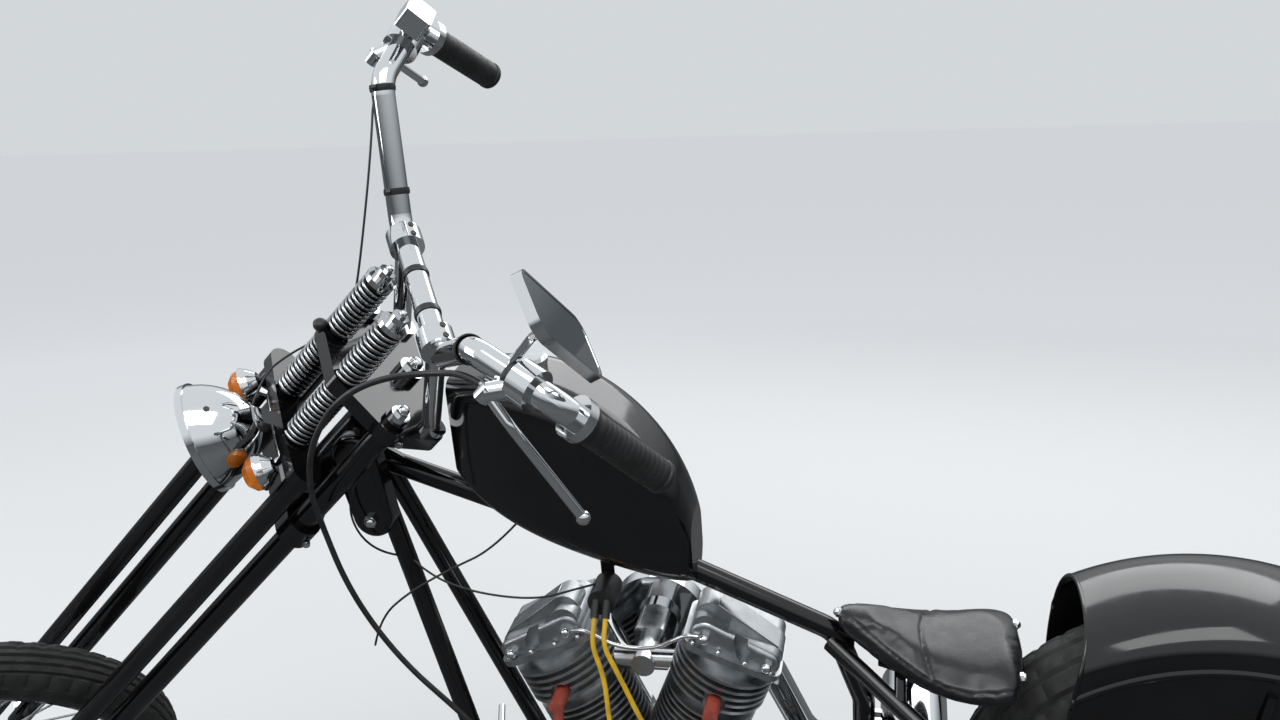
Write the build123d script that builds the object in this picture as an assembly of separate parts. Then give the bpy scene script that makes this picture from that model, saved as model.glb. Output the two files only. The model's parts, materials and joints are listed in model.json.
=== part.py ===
from build123d import *
import os
from math import sin, cos, tan, radians, sqrt

os.makedirs("parts", exist_ok=True)

# Chopper motorcycle with a spring fork, parked on its side stand, in millimetres
# Upright bike frame: X forward, Y to the rider's left, Z up, origin under the rear axle

# Clearances between pieces
seat_gap = 0.2
pin_gap = 0.05
rest_gap = 0.3
cut_over = 200.0

# Chassis
rake = 46.0
steer = 40.0
lean = 10.0
neck_x, neck_z = 1173.0, 908.0
neck_r, stem_r, cup_r = 27.0, 14.5, 25.0
neck_low, neck_high = -68.0, 92.0
backbone_r, tube_r, stay_r, cross_r = 16.0, 14.0, 12.5, 12.0
rail_y, rail_z = 128.0, 100.0
stay_y, ear_half = 144.0, 5.0
post_x = 452.0

# Wheels
rear_r, rear_section, rear_half = 330.0, 100.0, 92.0
rear_bead, rear_rim_half, rear_hub_half = 228.0, 72.0, 100.0
front_r, front_section = 342.0, 45.0
front_bead, front_rim_half, front_hub_half = 262.0, 30.0, 62.0
axle_r = 9.5
disc_r, disc_y, disc_t = 145.0, 107.0, 5.0

# Spring fork, measured from the steering axis
front_offset = 143.0
leg_v, rear_leg_u, front_leg_u = 103.0, 46.0, 100.0
rear_leg_r, front_leg_r = 17.0, 15.5
low_crown_w, low_crown_t = -118.0, 32.0
top_crown_w, top_crown_t = 112.0, 22.0
bridge_w, bridge_t = -12.0, 20.0
spring_u, spring_v, spring_top = 105.0, 43.0, 234.0
spring_r, spring_pitch, wire_r, spring_rod_r = 18.5, 8.0, 2.5, 7.0
rocker_v, rocker_t, pivot_r, pivot_rise = 71.0, 11.0, 8.0, 4.0

# Handlebar, grips and controls
bar_r = 16.0
bar_u, bar_w = 77.0, 275.0
riser_u, riser_v, riser_r = -16.0, 97.0, 13.0
grip_r, grip_length = 20.0, 136.0
cable_r = 4.0

# Lamps on the fork
lamp_r, lamp_depth, lamp_tip = 78.0, 72.0, 10.0
signal_r = 27.0

# Engine
crank_x, crank_z = 770.0, 262.0
half_vee = 22.5
case_r, case_half = 112.0, 76.0
deck, barrel_top, head_top = 150.0, 272.0, 348.0
plug_z, boot_r, lead_r = 290.0, 11.0, 3.5
barrel_r, fin_r, head_r = 50.0, 70.0, 74.0
tappet_y, tube_tappet_r = -88.0, 9.0
intake_z = 548.0
pipe_r, pipe_y = 22.0, -187.0

# Primary and final drive
gear_x, gear_z = 560.0, 262.0
primary_y, primary_t = 90.0, 58.0
chain_y, chain_half = -112.0, 8.0
gear_r, sprocket_r, link_half = 42.0, 100.0, 4.5

# Rear fender
fender_r, fender_half, fender_sheet = 388.0, 116.0, 3.0
rib_r = 325.0

# Room round the rear tyre and the oil tank
tyre_gap, oil_gap, oil_post_gap = 11.0, 29.0, 7.0

parts = []


def rod(a, b, r):
    a, b = Vector(*a), Vector(*b)
    return Solid.make_cylinder(r, (b - a).length, Plane(origin=a, z_dir=b - a))


def across(r, y0, y1, x, z):
    return rod((x, y0, z), (x, y1, z), r)


def bent(points, r, bends):
    path = FilletPolyline(*[Vector(*p) for p in points], radius=bends)
    return sweep(Plane(origin=path @ 0, z_dir=path % 0) * Circle(r), path=path)


def other(shape):
    return mirror(shape, about=Plane.XZ)


def both(shape):
    return shape + other(shape)


def block(x0, x1, y0, y1, z0, z1):
    return Pos((x0 + x1) / 2, (y0 + y1) / 2, (z0 + z1) / 2) * Box(x1 - x0, y1 - y0, z1 - z0)


def spun(rows):
    return revolve(make_face(Plane.YZ * Polyline(*rows, close=True)), Axis.Y, 360)


def turned(rows):
    return revolve(make_face(Plane.XZ * Polyline(*rows, close=True)), Axis.Z, 360)


def outline(points, y0, y1):
    face = make_face(Plane.XZ * Polyline(*points, close=True))
    return Pos(0, y1, 0) * extrude(face, y1 - y0, dir=(0, -1, 0))


# Plate around round bosses, each given by its centre and radius
def hull(circles):
    edges = []
    for x, y, r in circles:
        edges += (Pos(x, y) * Circle(r)).edges()
    return make_hull(edges)


def flat_plate(circles, z0, z1):
    return Pos(0, 0, z0) * extrude(hull(circles), z1 - z0)


def side_plate(circles, y0, y1):
    on = Plane(origin=(0, y1, 0), x_dir=(1, 0, 0), z_dir=(0, -1, 0)).location
    return on * extrude(hull(circles), y1 - y0)


# Flexible cable: each bend takes nearly half of the shorter run beside it
def cable(points, r):
    points = [Vector(*p) for p in points]
    bends = []
    for a, b, c in zip(points, points[1:], points[2:]):
        half_turn = radians((b - a).get_angle(c - b)) / 2
        bends.append(0.45 * min((b - a).length, (c - b).length) / tan(half_turn))
    path = FilletPolyline(*points, radius=bends)
    return sweep(Plane(origin=path @ 0, z_dir=path % 0) * Circle(r), path=path)


# Fork frame: u forward of the steering axis, v left, w up the steering axis
def steered(angle):
    up = Vector(-sin(radians(rake)), 0, cos(radians(rake)))
    ahead = Vector(cos(radians(rake)), 0, sin(radians(rake)))
    turned_ahead = ahead * cos(radians(angle)) + Vector(0, 1, 0) * sin(radians(angle))
    return Plane(origin=(neck_x, 0, neck_z), x_dir=turned_ahead, z_dir=up).location


fork_at = steered(steer)
axle_w = -(neck_z + front_offset * sin(radians(rake)) - front_r) / cos(radians(rake))
axle_point = (front_offset, 0, axle_w)


# Parked: leaned on the stand, then pitched until both tyres touch the ground
def lowest(at, centre, big, small):
    spot = at * Plane(origin=centre, z_dir=(0, 1, 0)).location
    up = Plane(spot).z_dir.Z
    return spot.position.Z - (big - small) * sqrt(1 - up * up) - small


def leaned(pitch):
    return Location((0, 0, 0), (0, pitch, 0)) * Location((0, 0, 0), (-lean, 0, 0))


low, high = -5.0, 5.0
for _ in range(40):
    pitch = (low + high) / 2
    back = lowest(leaned(pitch), (0, 0, rear_r), rear_r, rear_section)
    fore = lowest(leaned(pitch) * fork_at, axle_point, front_r, front_section)
    if fore > back:
        low = pitch
    else:
        high = pitch
park = Location((0, 0, -back)) * leaned(pitch)
fork_park = park * fork_at


def add(name, shape, at=park):
    parts.append((name, at * shape))


# Wheels: tyre down to the rim, laced rim with a hub and crossed spokes
def tyre(r, section, half, bead, rim_half):
    edge = r - section + sqrt(section * section - half * half)
    side = Line((-half, edge), (-rim_half, bead + seat_gap))
    inside = Line((-rim_half, bead + seat_gap), (rim_half, bead + seat_gap))
    rise = Line((rim_half, bead + seat_gap), (half, edge))
    crown = ThreePointArc((half, edge), (0, r), (-half, edge))
    return revolve(make_face(Plane.YZ * Curve([side, inside, rise, crown])), Axis.Y, 360)


def laced(bead, rim_half, hub_half, flange_y, flange_r, count):
    well = bead - 14
    lip = bead - 4
    rim = spun([(-rim_half, bead), (rim_half, bead), (rim_half, lip), (rim_half / 2, well),
                (-rim_half / 2, well), (-rim_half, lip)])
    bore = axle_r + pin_gap
    hub = spun([(-hub_half, bore), (-hub_half, 22), (-flange_y - 4, 22), (-flange_y - 4, flange_r),
                (-flange_y + 4, flange_r), (-flange_y + 4, 26), (flange_y - 4, 26),
                (flange_y - 4, flange_r), (flange_y + 4, flange_r), (flange_y + 4, 22),
                (hub_half, 22), (hub_half, bore)])
    spokes = []
    for i in range(count):
        side = 1 if i % 2 else -1
        lace = 38 if i % 4 < 2 else -38
        at_rim = radians(360 * i / count)
        at_hub = radians(360 * i / count + lace)
        inner = ((flange_r - 3) * cos(at_hub), side * flange_y, (flange_r - 3) * sin(at_hub))
        outer = ((well + 2) * cos(at_rim), side * rim_half / 4, (well + 2) * sin(at_rim))
        spokes.append(rod(inner, outer, 2))
    return rim + hub + spokes


rear_spot = Pos(0, 0, rear_r)
front_spot = fork_park * Pos(*axle_point)
add("rear_tyre", rear_spot * tyre(rear_r, rear_section, rear_half, rear_bead, rear_rim_half))
add("rear_wheel", rear_spot * laced(rear_bead, rear_rim_half, rear_hub_half, 70, 48, 40))
add("front_tyre", tyre(front_r, front_section, front_section, front_bead, front_rim_half), front_spot)
add("front_wheel", laced(front_bead, front_rim_half, front_hub_half, 40, 34, 40), front_spot)

# Rear sprocket on the right of the hub, brake disc on its left
sprocket = across(sprocket_r - 5, chain_y - 3, chain_y + 3, 0, rear_r)
sprocket = sprocket + across(34, chain_y - 6, -rear_hub_half, 0, rear_r)
bolt_bore = axle_r + 3
add("rear_sprocket", sprocket - across(bolt_bore, -cut_over, 0, 0, rear_r))
disc = across(disc_r, disc_y, disc_y + disc_t, 0, rear_r)
disc = disc + across(50, rear_hub_half, disc_y + disc_t, 0, rear_r)
for turn in range(0, 360, 45):
    slot = Rot(0, turn, 0) * rod((118, 0, 0), (118, cut_over, 0), 10)
    disc = disc - rear_spot * slot
add("rear_disc", disc - across(bolt_bore, 0, cut_over, 0, rear_r))
nut_y = stay_y + ear_half
rear_axle = across(axle_r, -nut_y - 15, nut_y + 15, 0, rear_r)
add("rear_axle", rear_axle + both(across(15, nut_y, nut_y + 11, 0, rear_r)))

# Frame: neck, backbone over the engine, two down tubes, rails and rigid rear triangle
ear_z = 18.0
neck = steered(0) * Pos(0, 0, (neck_low + neck_high) / 2) * Cylinder(neck_r, neck_high - neck_low)
backbone_path = [(1150, 0, 876), (690, 0, 706), (490, 0, 612), (post_x, 0, 500), (post_x, 0, rail_z)]
down_path = [(1138, 20, 852), (930, rail_y, rail_z + 50), (860, rail_y, rail_z), (520, rail_y, rail_z),
             (36, stay_y, rear_r - ear_z)]
upper_path = [(497, 12, 600), (330, stay_y, 520), (36, stay_y, rear_r + ear_z)]
ear = Rot(90, 0, 0) * extrude(RectangleRounded(80, 80, 22), ear_half, both=True)
frame = neck + bent(backbone_path, backbone_r, 45) + both(bent(down_path, tube_r, 60))
frame = frame + both(bent(upper_path, stay_r, 50)) + both(Pos(0, stay_y, rear_r) * ear)
for x in (865, 660, gear_x, post_x):
    frame = frame + across(cross_r, -rail_y, rail_y, x, rail_z)
engine_floor = crank_z - case_r
for x in (865, 660):
    frame = frame + block(x - 20, x + 20, -50, 50, rail_z, engine_floor)
gearbox_floor = 150.0
frame = frame + block(gear_x - 20, gear_x + 20, -50, 50, rail_z, gearbox_floor)
frame = frame + outline([(1150, 905), (1150, 860), (1020, 826)], -4, 4)
coil_x, coil_z, tab_half = 812.0, 678.0, 6.0
frame = frame + block(coil_x - 10, coil_x + 10, -tab_half, tab_half, coil_z - 14, 748)

# Coil cover on the left of the neck, carried by a boss
cover_y, cover_t = 30.0, 32.0
frame = frame + across(14, 0, cover_y, 1146, 852)
frame = frame - steered(0) * Cylinder(stem_r + pin_gap, 2 * cut_over)
frame = frame - across(axle_r + pin_gap, -cut_over, cut_over, 0, rear_r)
cover = side_plate([(1150, 898, 34), (1136, 802, 30)], cover_y, cover_y + cover_t)
cover = fillet(cover.edges().group_by(Axis.Y)[-1], 9)
add("coil_cover", cover - rod(down_path[0], down_path[1], tube_r + rest_gap))

# Fuel tank: tall flat-fronted tank over the backbone, lofted along its length
tank_rows = [
    (1002, 868, 1010, 50, 18), (940, 806, 1016, 74, 38), (860, 762, 1006, 84, 50),
    (780, 730, 962, 80, 50), (715, 706, 888, 66, 46), (680, 700, 800, 44, 34),
]
tunnel_r = backbone_r + rest_gap


def lofted(rows, rise, ruled):
    sections = []
    for x, z0, z1, half, round_r in rows:
        spot = Plane(origin=(x, 0, rise + (z0 + z1) / 2), x_dir=(0, 1, 0), z_dir=(1, 0, 0))
        sections.append(spot * RectangleRounded(2 * half, z1 - z0, round_r))
    return loft(sections, ruled=ruled)


top_run = Vector(*backbone_path[0]) - Vector(*backbone_path[1])
tunnel_a = Vector(*backbone_path[0]) + top_run * 0.2
tunnel_b = Vector(*backbone_path[1]) - top_run * 0.2
tunnel = rod(tuple(tunnel_a), tuple(tunnel_b), tunnel_r)
under = [(tunnel_a.X, tunnel_a.Z), (tunnel_b.X, tunnel_b.Z), (tunnel_b.X, 400), (tunnel_a.X, 400)]
tank = lofted(tank_rows, 0, False) - (tunnel + outline(under, -tunnel_r, tunnel_r))
add("fuel_tank", tank)
cap = Pos(900, 0, 1018) * (Cylinder(30, 16) + Pos(0, 0, 8) * Cylinder(24, 6))
add("fuel_cap", cap - tank)

# Seat: low solo saddle on a pan that stands on the upper stays, clear of the rear tyre
seat_rows = [
    (486, 54, 78, 20, 10), (430, 24, 66, 56, 16), (372, 4, 50, 92, 20),
    (310, -8, 40, 114, 22), (262, -8, 40, 112, 22), (234, 0, 30, 90, 14),
]
seat_back = seat_rows[-1][0]
frame_seat_z, pan_t = 574.0, 4.0
seat_z = max(frame_seat_z, rear_r + sqrt(rear_r * rear_r - seat_back * seat_back) + tyre_gap)
add("seat", lofted(seat_rows, seat_z, True))
pan_top = [(x, z0 + seat_z - rest_gap) for x, z0, z1, half, round_r in seat_rows]
pan_low = [(x, z - pan_t) for x, z in reversed(pan_top)]
pan = outline(pan_top + pan_low, -20, 20)
pan = pan + outline(pan_top[1:5] + pan_low[1:5], -52, 52)
pan = pan + both(rod((400, 88, 556), (400, 48, seat_z + 30), 8)) + block(464, 482, -10, 10, 590, seat_z + 60)
pan = pan - outline(pan_top + [(seat_back, seat_z + 140), (486, seat_z + 140)], -90, 90)
frame = frame + pan

# Engine: crankcase, finned barrels and heads, two-lobed rocker boxes
case = across(case_r, -case_half, case_half, crank_x, crank_z)
case = case + block(650, 880, -60, 60, engine_floor, crank_z)


def on_cylinder(side):
    tilt = radians(half_vee)
    return Plane(origin=(crank_x, 0, crank_z), x_dir=(cos(tilt), 0, -side * sin(tilt)),
                 z_dir=(side * sin(tilt), 0, cos(tilt))).location


def comb(base, top, core, tip, pitch, fin):
    rows = [(0, base), (core, base)]
    z = base
    while z + pitch <= top - fin:
        rows += [(core, z + pitch - fin), (tip, z + pitch - fin), (tip, z + pitch), (core, z + pitch)]
        z += pitch
    return turned(rows + [(core, top), (0, top)])


# Exhausts along the right side, each from its own port
routes = {
    "front": ([(880, -50, 500), (925, -90, 470), (930, -160, 330), (840, pipe_y, 180),
               (-60, pipe_y, 180)], 45),
    "rear": ([(640, -50, 520), (600, -110, 470), (560, pipe_y, 300), (500, pipe_y, 235),
              (-60, pipe_y, 235)], 40),
}
ports = {}
pipes = []
for name, (route, bend) in routes.items():
    hole_r = pipe_r + seat_gap
    ports[name] = rod(route[0], route[1], hole_r) + bent(route[:3], hole_r, bend)
    pipe = bent(route, pipe_r, bend)
    tip_a, tip_b = Vector(*route[-1]), Vector(*route[-1]) + Vector(-1, 0, 0)
    hollow = rod(tuple(tip_a + Vector(60, 0, 0)), tuple(tip_b), pipe_r - 2)
    pipes.append(pipe - hollow)
add("exhausts", pipes[0] + pipes[1])

barrels, heads, rocker_boxes, tubes, boots = [], [], [], [], []
spur = 22.0
for name, side in [("front", 1), ("rear", -1)]:
    at = on_cylinder(side)
    case = case + at * Pos(0, 0, 110) * Box(116, 118, 80)
    half_x = crank_x + side * pin_gap
    own_side = block(min(half_x, half_x + 300 * side), max(half_x, half_x + 300 * side), -99, 99, 200, 800)
    barrel = at * comb(deck, barrel_top, barrel_r, fin_r, 10, 3.5)
    barrels.append((barrel & own_side) - ports[name])
    heads.append(at * comb(barrel_top, head_top, 58, head_r, 12, 5) - ports[name])

    # Rocker box: flanged foot, two bosses with a scoop between them, a narrow sloping ridge
    inner = -side
    flange = Pos(0, 0, head_top + 5) * Box(148, 118, 10)
    flange = fillet(flange.edges().filter_by(Axis.Z), 22)
    lobes = side_plate([(46 * inner, head_top + 25, 22), (-50 * inner, head_top + 19, 18)], -50, 50)
    lobes = fillet(lobes.edges().group_by(Axis.Y)[-1], 7)
    ridge = side_plate([(48 * inner, head_top + 46, 20), (-54 * inner, head_top + 20, 16)], -20, 24)
    ridge = ridge + side_plate([(48 * inner, head_top + 38, 20), (14 * inner, head_top + 24, 16)], 20, 46)
    scoop = side_plate([(-2 * inner, head_top + 40, 9), (-14 * inner, head_top + 22, 11)], 38, 60)
    ledge = Pos(-14 * side, tappet_y / 2 - 20, head_top + 7) * Box(64, -tappet_y, 14)
    rocker_boxes.append(at * (flange + lobes + ridge + ledge - scoop))

    # Spark plug pocket on the left, the boot on its plug turned down to the lead
    pocket = rod((0, 57, plug_z), (0, 99, plug_z), boot_r + 6)
    heads[-1] = heads[-1] - at * pocket
    plug_spot = (at * Pos(0, 98, plug_z)).position
    boot = at * rod((0, 50, plug_z), (0, 106, plug_z), boot_r) - heads[-1]
    boots.append(boot + rod(tuple(plug_spot), (plug_spot.X, plug_spot.Y, plug_spot.Z - spur), 8))
    for x in (-30 * side, 2 * side):
        tubes.append(at * rod((x, tappet_y, 140), (x, tappet_y, head_top), tube_tappet_r))
add("crankcase", case)
add("barrels", barrels[0] + barrels[1])
add("heads", heads[0] + heads[1])
add("rocker_boxes", rocker_boxes[0] + rocker_boxes[1])
add("plug_boots", boots[0] + boots[1])

# Cam cover with a tappet block and two push rod tubes for each cylinder
cam = side_plate([(crank_x + 8, crank_z + 10, 84), (crank_x + 86, crank_z - 20, 46)], -108, -case_half)
for side in (1, -1):
    cam = cam + on_cylinder(side) * block(-38, 38, -102, -case_half, 76, 140)
for tube in tubes:
    cam = cam + tube
add("cam_cover", cam)

# Intake between the heads, carburettor and round air cleaner on the right
manifold = rod((crank_x - 60, 0, intake_z), (crank_x + 60, 0, intake_z), 16)
manifold = manifold + across(18, -40, 20, crank_x, intake_z)
for side in (1, -1):
    manifold = manifold - on_cylinder(side) * Pos(0, 0, deck + 100) * Cylinder(head_r, 2 * cut_over)
carb = block(crank_x - 24, crank_x + 24, -92, -40, intake_z - 30, intake_z + 26)
add("carburettor", manifold + fillet(carb.edges().filter_by(Axis.Y), 8))
cleaner = across(75, -142, -104, crank_x, intake_z) + across(34, -104, -92, crank_x, intake_z)
cleaner = chamfer(cleaner.edges().group_by(Axis.Y)[0], 10)
add("air_cleaner", cleaner)

# Ignition coil on its tab under the tank, a yellow lead looping down from it to each plug
coil_face = 58.0
coil = across(20, tab_half, coil_face, coil_x, coil_z)
tower_z = coil_z - 16
leads = []
for side, tower_x, low_x, spread in [(1, coil_x + 8, 806, 803), (-1, coil_x - 8, 782, 737)]:
    coil = coil + rod((tower_x, coil_face - 14, tower_z + 28), (tower_x, coil_face + 14, tower_z), 6)
    plug_x = crank_x + side * plug_z * sin(radians(half_vee))
    plug_low = crank_z + plug_z * cos(radians(half_vee)) - spur
    mid_x = (spread + plug_x) / 2
    start = (tower_x, coil_face + 14, tower_z)
    leads.append(cable([start, (tower_x, 98, tower_z - 26), (low_x, 101, tower_z - 80),
                        ((low_x + spread) / 2, 104, plug_low + 14), (spread, 98, plug_low - 45),
                        (mid_x, 98, plug_low - 67.5), (plug_x, 98, plug_low - 45),
                        (plug_x, 98, plug_low)], lead_r))
add("ignition_coil", coil)
add("plug_leads", leads[0] + leads[1])

# Gearbox on its own pedestal, primary case on the left
gearbox = block(486, 640, -84, 84, gearbox_floor, 350) - across(case_r + rest_gap, -90, 90, crank_x, crank_z)
gearbox = gearbox + across(gear_r - 5, chain_y - 3, chain_y + 3, gear_x, gear_z)
add("gearbox", gearbox + across(16, chain_y, -84, gear_x, gear_z))
primary = side_plate([(crank_x, crank_z, 84), (gear_x, gear_z, 96)], primary_y, primary_y + primary_t)
primary = fillet(primary.edges().group_by(Axis.Y)[-1], 14)
primary = primary + across(66, primary_y + primary_t - 14, primary_y + primary_t + 5, gear_x, gear_z)
primary = primary + across(40, 84, primary_y, gear_x, gear_z)
primary = primary + across(40, case_half, primary_y, crank_x, crank_z)
ferrule_a, ferrule_b = (822, 119, 314), (846, 119, 342)
add("primary_case", primary + rod(ferrule_a, ferrule_b, 7))


# Final drive chain on the right
def chain_loop(grow, half):
    circles = [(0, rear_r, sprocket_r + grow), (gear_x, gear_z, gear_r + grow)]
    return side_plate(circles, chain_y - half, chain_y + half)


chain = chain_loop(link_half, chain_half) - chain_loop(-link_half - seat_gap, chain_half + 1)
add("drive_chain", chain)

# Rear fender: wide crown with deep sides, a rib and struts down to the axle ears
inner = fender_r - fender_sheet
side_in = fender_half - fender_sheet
crown = spun([(-fender_half, 250), (-fender_half, 350), (-80, fender_r - 8), (-40, fender_r),
              (40, fender_r), (80, fender_r - 8), (fender_half, 350), (fender_half, 250),
              (side_in, 250), (side_in, 348), (79, inner - 8), (40, inner), (-40, inner),
              (-79, inner - 8), (-side_in, 348), (-side_in, 250)])
rib_out = fender_half + 4
rib = spun([(side_in, rib_r - 6), (rib_out, rib_r - 3), (rib_out, rib_r + 3), (side_in, rib_r + 6)])
skirt = outline([(200, 0), (186, 262), (162, 356), (140, 500), (-900, 500), (-900, -60), (0, -60)],
                -cut_over, cut_over)
fender = rear_spot * ((crown + both(rib)) & skirt)
ear_in = stay_y - ear_half
strut_foot = block(-14, 14, ear_in - 10, ear_in, rear_r + 10, rear_r + 38)
for x, z in [(-50, 297), (-190, 235)]:
    strut_foot = strut_foot + rod((0, ear_in - 6, rear_r + 36), (x, fender_half + 3, rear_r + z), 6)
add("rear_fender", fender + both(strut_foot))

# Tail lamp on the crown of the fender and a blank plate on its left strut line
lamp_turn = 150.0
lamp_at = rear_spot * Rot(0, -lamp_turn, 0) * Plane(origin=(fender_r, 0, 0), z_dir=(1, 0, 0)).location
housing = lamp_at * Cylinder(30, 24, align=(Align.CENTER, Align.CENTER, Align.MIN))
glow = turned([(0, 24), (27, 24), (24, 36), (12, 42), (0, 43)])
add("tail_lens", lamp_at * glow)
plate_at = rear_spot * Rot(0, -lamp_turn - 18, 0) * Plane(origin=(fender_r, 0, 0), z_dir=(1, 0, 0)).location
plate = Pos(0, 0, 22) * extrude(RectangleRounded(120, 180, 10), 1.5, both=True)
plate = plate + rod((0, 0, 0), (0, 0, 21), 14)
add("tail_lamp", housing + plate_at * plate)

# Rear brake caliper around the disc, carried by the left ear
caliper = block(-150, -84, disc_y - 22, disc_y + disc_t + 16, rear_r + 40, rear_r + 104)
caliper = fillet(caliper.edges().filter_by(Axis.Y), 12)
caliper = caliper - across(disc_r + 3, disc_y - 3, disc_y + disc_t + 3, 0, rear_r)
hanger = outline([(-100, rear_r + 50), (-88, rear_r + 84), (-20, rear_r + 20), (-20, rear_r - 12),
                  (-36, rear_r - 12)], disc_y + disc_t + 12, ear_in)
add("rear_caliper", caliper + hanger)

# Oil tank: a drum that fills the room between the rear tyre and the seat post
oil_z = 462.0
oil_rise = oil_z - rear_r
oil_front = post_x - backbone_r - oil_post_gap
oil_back = sqrt((rear_r + oil_gap) * (rear_r + oil_gap) - oil_rise * oil_rise)
oil_x = (oil_front + oil_back) / 2
oil = across((oil_front - oil_back) / 2, -96, 96, oil_x, oil_z)
oil = chamfer(oil.edges(), 8)
for y in (-10, 10):
    oil = oil + block(oil_x, post_x, y - 4, y + 4, oil_z - 10, oil_z + 10)
add("oil_tank", oil - frame)

# Forward foot controls on the down tubes
peg_x, peg_y, peg_z, peg_r, peg_length = 985.0, 152.0, 230.0, 15.0, 112.0
arm = rod((953, 116, peg_z), (peg_x - 4, peg_y - 10, peg_z), 11)
arm = arm + across(13, peg_y - 14, peg_y, peg_x, peg_z)
pedal = arm + bent([(peg_x, peg_y - 8, peg_z), (peg_x + 90, peg_y - 4, peg_z + 30),
                    (peg_x + 110, peg_y + 70, peg_z + 40)], 6, 18)
add("foot_controls", both(pedal) - frame)
peg = across(peg_r, peg_y, peg_y + peg_length, peg_x, peg_z)
add("pegs", both(peg))

# Spring fork: rigid rear legs between two crowns, dust cups on the neck bearings
leg_foot = axle_w - 12
crown_top = top_crown_w + top_crown_t
low_top = low_crown_w + low_crown_t
legs = both(rod((rear_leg_u, leg_v, crown_top + 6), (rear_leg_u, leg_v, leg_foot), rear_leg_r))
stem = rod((0, 0, low_crown_w), (0, 0, crown_top), stem_r)
stem = stem + rod((0, 0, low_top), (0, 0, neck_low - rest_gap), cup_r)
stem = stem + rod((0, 0, neck_high + rest_gap), (0, 0, top_crown_w), cup_r)
low_crown = flat_plate([(0, 0, 30), (rear_leg_u, leg_v, 26), (rear_leg_u, -leg_v, 26)], low_crown_w, low_top)
top_circles = [(0, 0, 28)]
for side in (1, -1):
    top_circles += [(rear_leg_u, side * leg_v, 27), (spring_u, side * spring_v, 22),
                    (riser_u, side * riser_v, 20)]
top_crown = flat_plate(top_circles, top_crown_w, crown_top)


def on_spring(w0, w1, r):
    return rod((spring_u, spring_v, w0), (spring_u, spring_v, w1), r)


rod_hole = on_spring(top_crown_w - 10, crown_top + 10, spring_rod_r + rest_gap)
pivot_w = axle_w + pivot_rise
rear_pin = rod((rear_leg_u, rocker_v - 2, pivot_w), (rear_leg_u, leg_v, pivot_w), pivot_r)
add("rear_legs", legs + stem + low_crown + top_crown + both(rear_pin) - both(rod_hole), fork_park)

# Sprung front legs hang from a bridge; its rods pass through the top crown
bridge_top = bridge_w + bridge_t
front_leg = rod((front_leg_u, leg_v, bridge_top), (front_leg_u, leg_v, leg_foot), front_leg_r)
front_pin = rod((front_leg_u, rocker_v - 2, pivot_w), (front_leg_u, leg_v, pivot_w), pivot_r)
bridge = flat_plate([(front_leg_u, leg_v, 22), (spring_u, spring_v, 20), (spring_u, -spring_v, 20),
                     (front_leg_u, -leg_v, 22)], bridge_w, bridge_top)
leg_room = rod((rear_leg_u, leg_v, bridge_w - 9), (rear_leg_u, leg_v, bridge_top + 9), rear_leg_r + 5)
bridge = bridge - both(leg_room)
spring_rods = both(on_spring(bridge_top, spring_top + 16, spring_rod_r))
add("front_legs", both(front_leg + front_pin) + bridge + spring_rods, fork_park)


# Coil springs: two below the top crown, two above it under their caps
def spring(w0, w1):
    start = w0 + wire_r + rest_gap
    path = Helix(spring_pitch, w1 - w0 - 2 * (wire_r + rest_gap), spring_r)
    coil = sweep(Plane(origin=path @ 0, z_dir=path % 0) * Circle(wire_r), path=path)
    return Pos(spring_u, spring_v, start) * coil


springs = spring(bridge_top, top_crown_w) + spring(crown_top, spring_top)
add("springs", both(springs), fork_park)
spring_cap = on_spring(spring_top, spring_top + 8, 21) + on_spring(spring_top + 8, spring_top + 22, 12)
spring_cap = spring_cap - spring_rods
leg_cap = rod((rear_leg_u, leg_v, crown_top + 6), (rear_leg_u, leg_v, crown_top + 16), 14)
stem_nut = rod((0, 0, crown_top), (0, 0, crown_top + 14), 19)
add("fork_nuts", both(spring_cap + leg_cap) + stem_nut, fork_park)

# Rockers carry the front axle between the two pairs of legs
rocker_circles = [(rear_leg_u, pivot_w, 18), (front_leg_u, pivot_w, 16), (front_offset, axle_w, 20)]
rocker = side_plate(rocker_circles, rocker_v, rocker_v + rocker_t)
pins = [(rear_leg_u, pivot_w, pivot_r), (front_leg_u, pivot_w, pivot_r), (front_offset, axle_w, axle_r)]
for u, w, r in pins:
    rocker = rocker - across(r + pin_gap, rocker_v - 9, rocker_v + rocker_t + 9, u, w)
add("fork_rockers", both(rocker), fork_park)
rocker_out = rocker_v + rocker_t
front_axle = across(axle_r, -rocker_out - 12, rocker_out + 12, front_offset, axle_w)
spacer = across(14, front_hub_half + rest_gap, rocker_v - seat_gap, front_offset, axle_w)
nut = across(14, rocker_out + seat_gap, rocker_out + 10, front_offset, axle_w)
add("front_axle", front_axle + both(spacer + nut), fork_park)

# Handlebar on two posts from the top crown
bar_points = [(bar_u, 0, bar_w), (bar_u, 120, bar_w), (165, 255, 400), (118, 360, 446), (-55, 396, 422)]
bar = bent(bar_points, bar_r, [50, 45, 35])
post_a, post_b = Vector(riser_u, riser_v, crown_top), Vector(bar_u, riser_v, bar_w)
post_line = (post_b - post_a).normalized()
post = rod(tuple(post_a - post_line * 16), tuple(post_b), riser_r) - block(-90, 90, 0, 200, 80, crown_top)
post = post + rod(tuple(post_a), (riser_u, riser_v, crown_top + 10), 18)
post = post + across(24, riser_v - 15, riser_v + 15, bar_u, bar_w)

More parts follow.
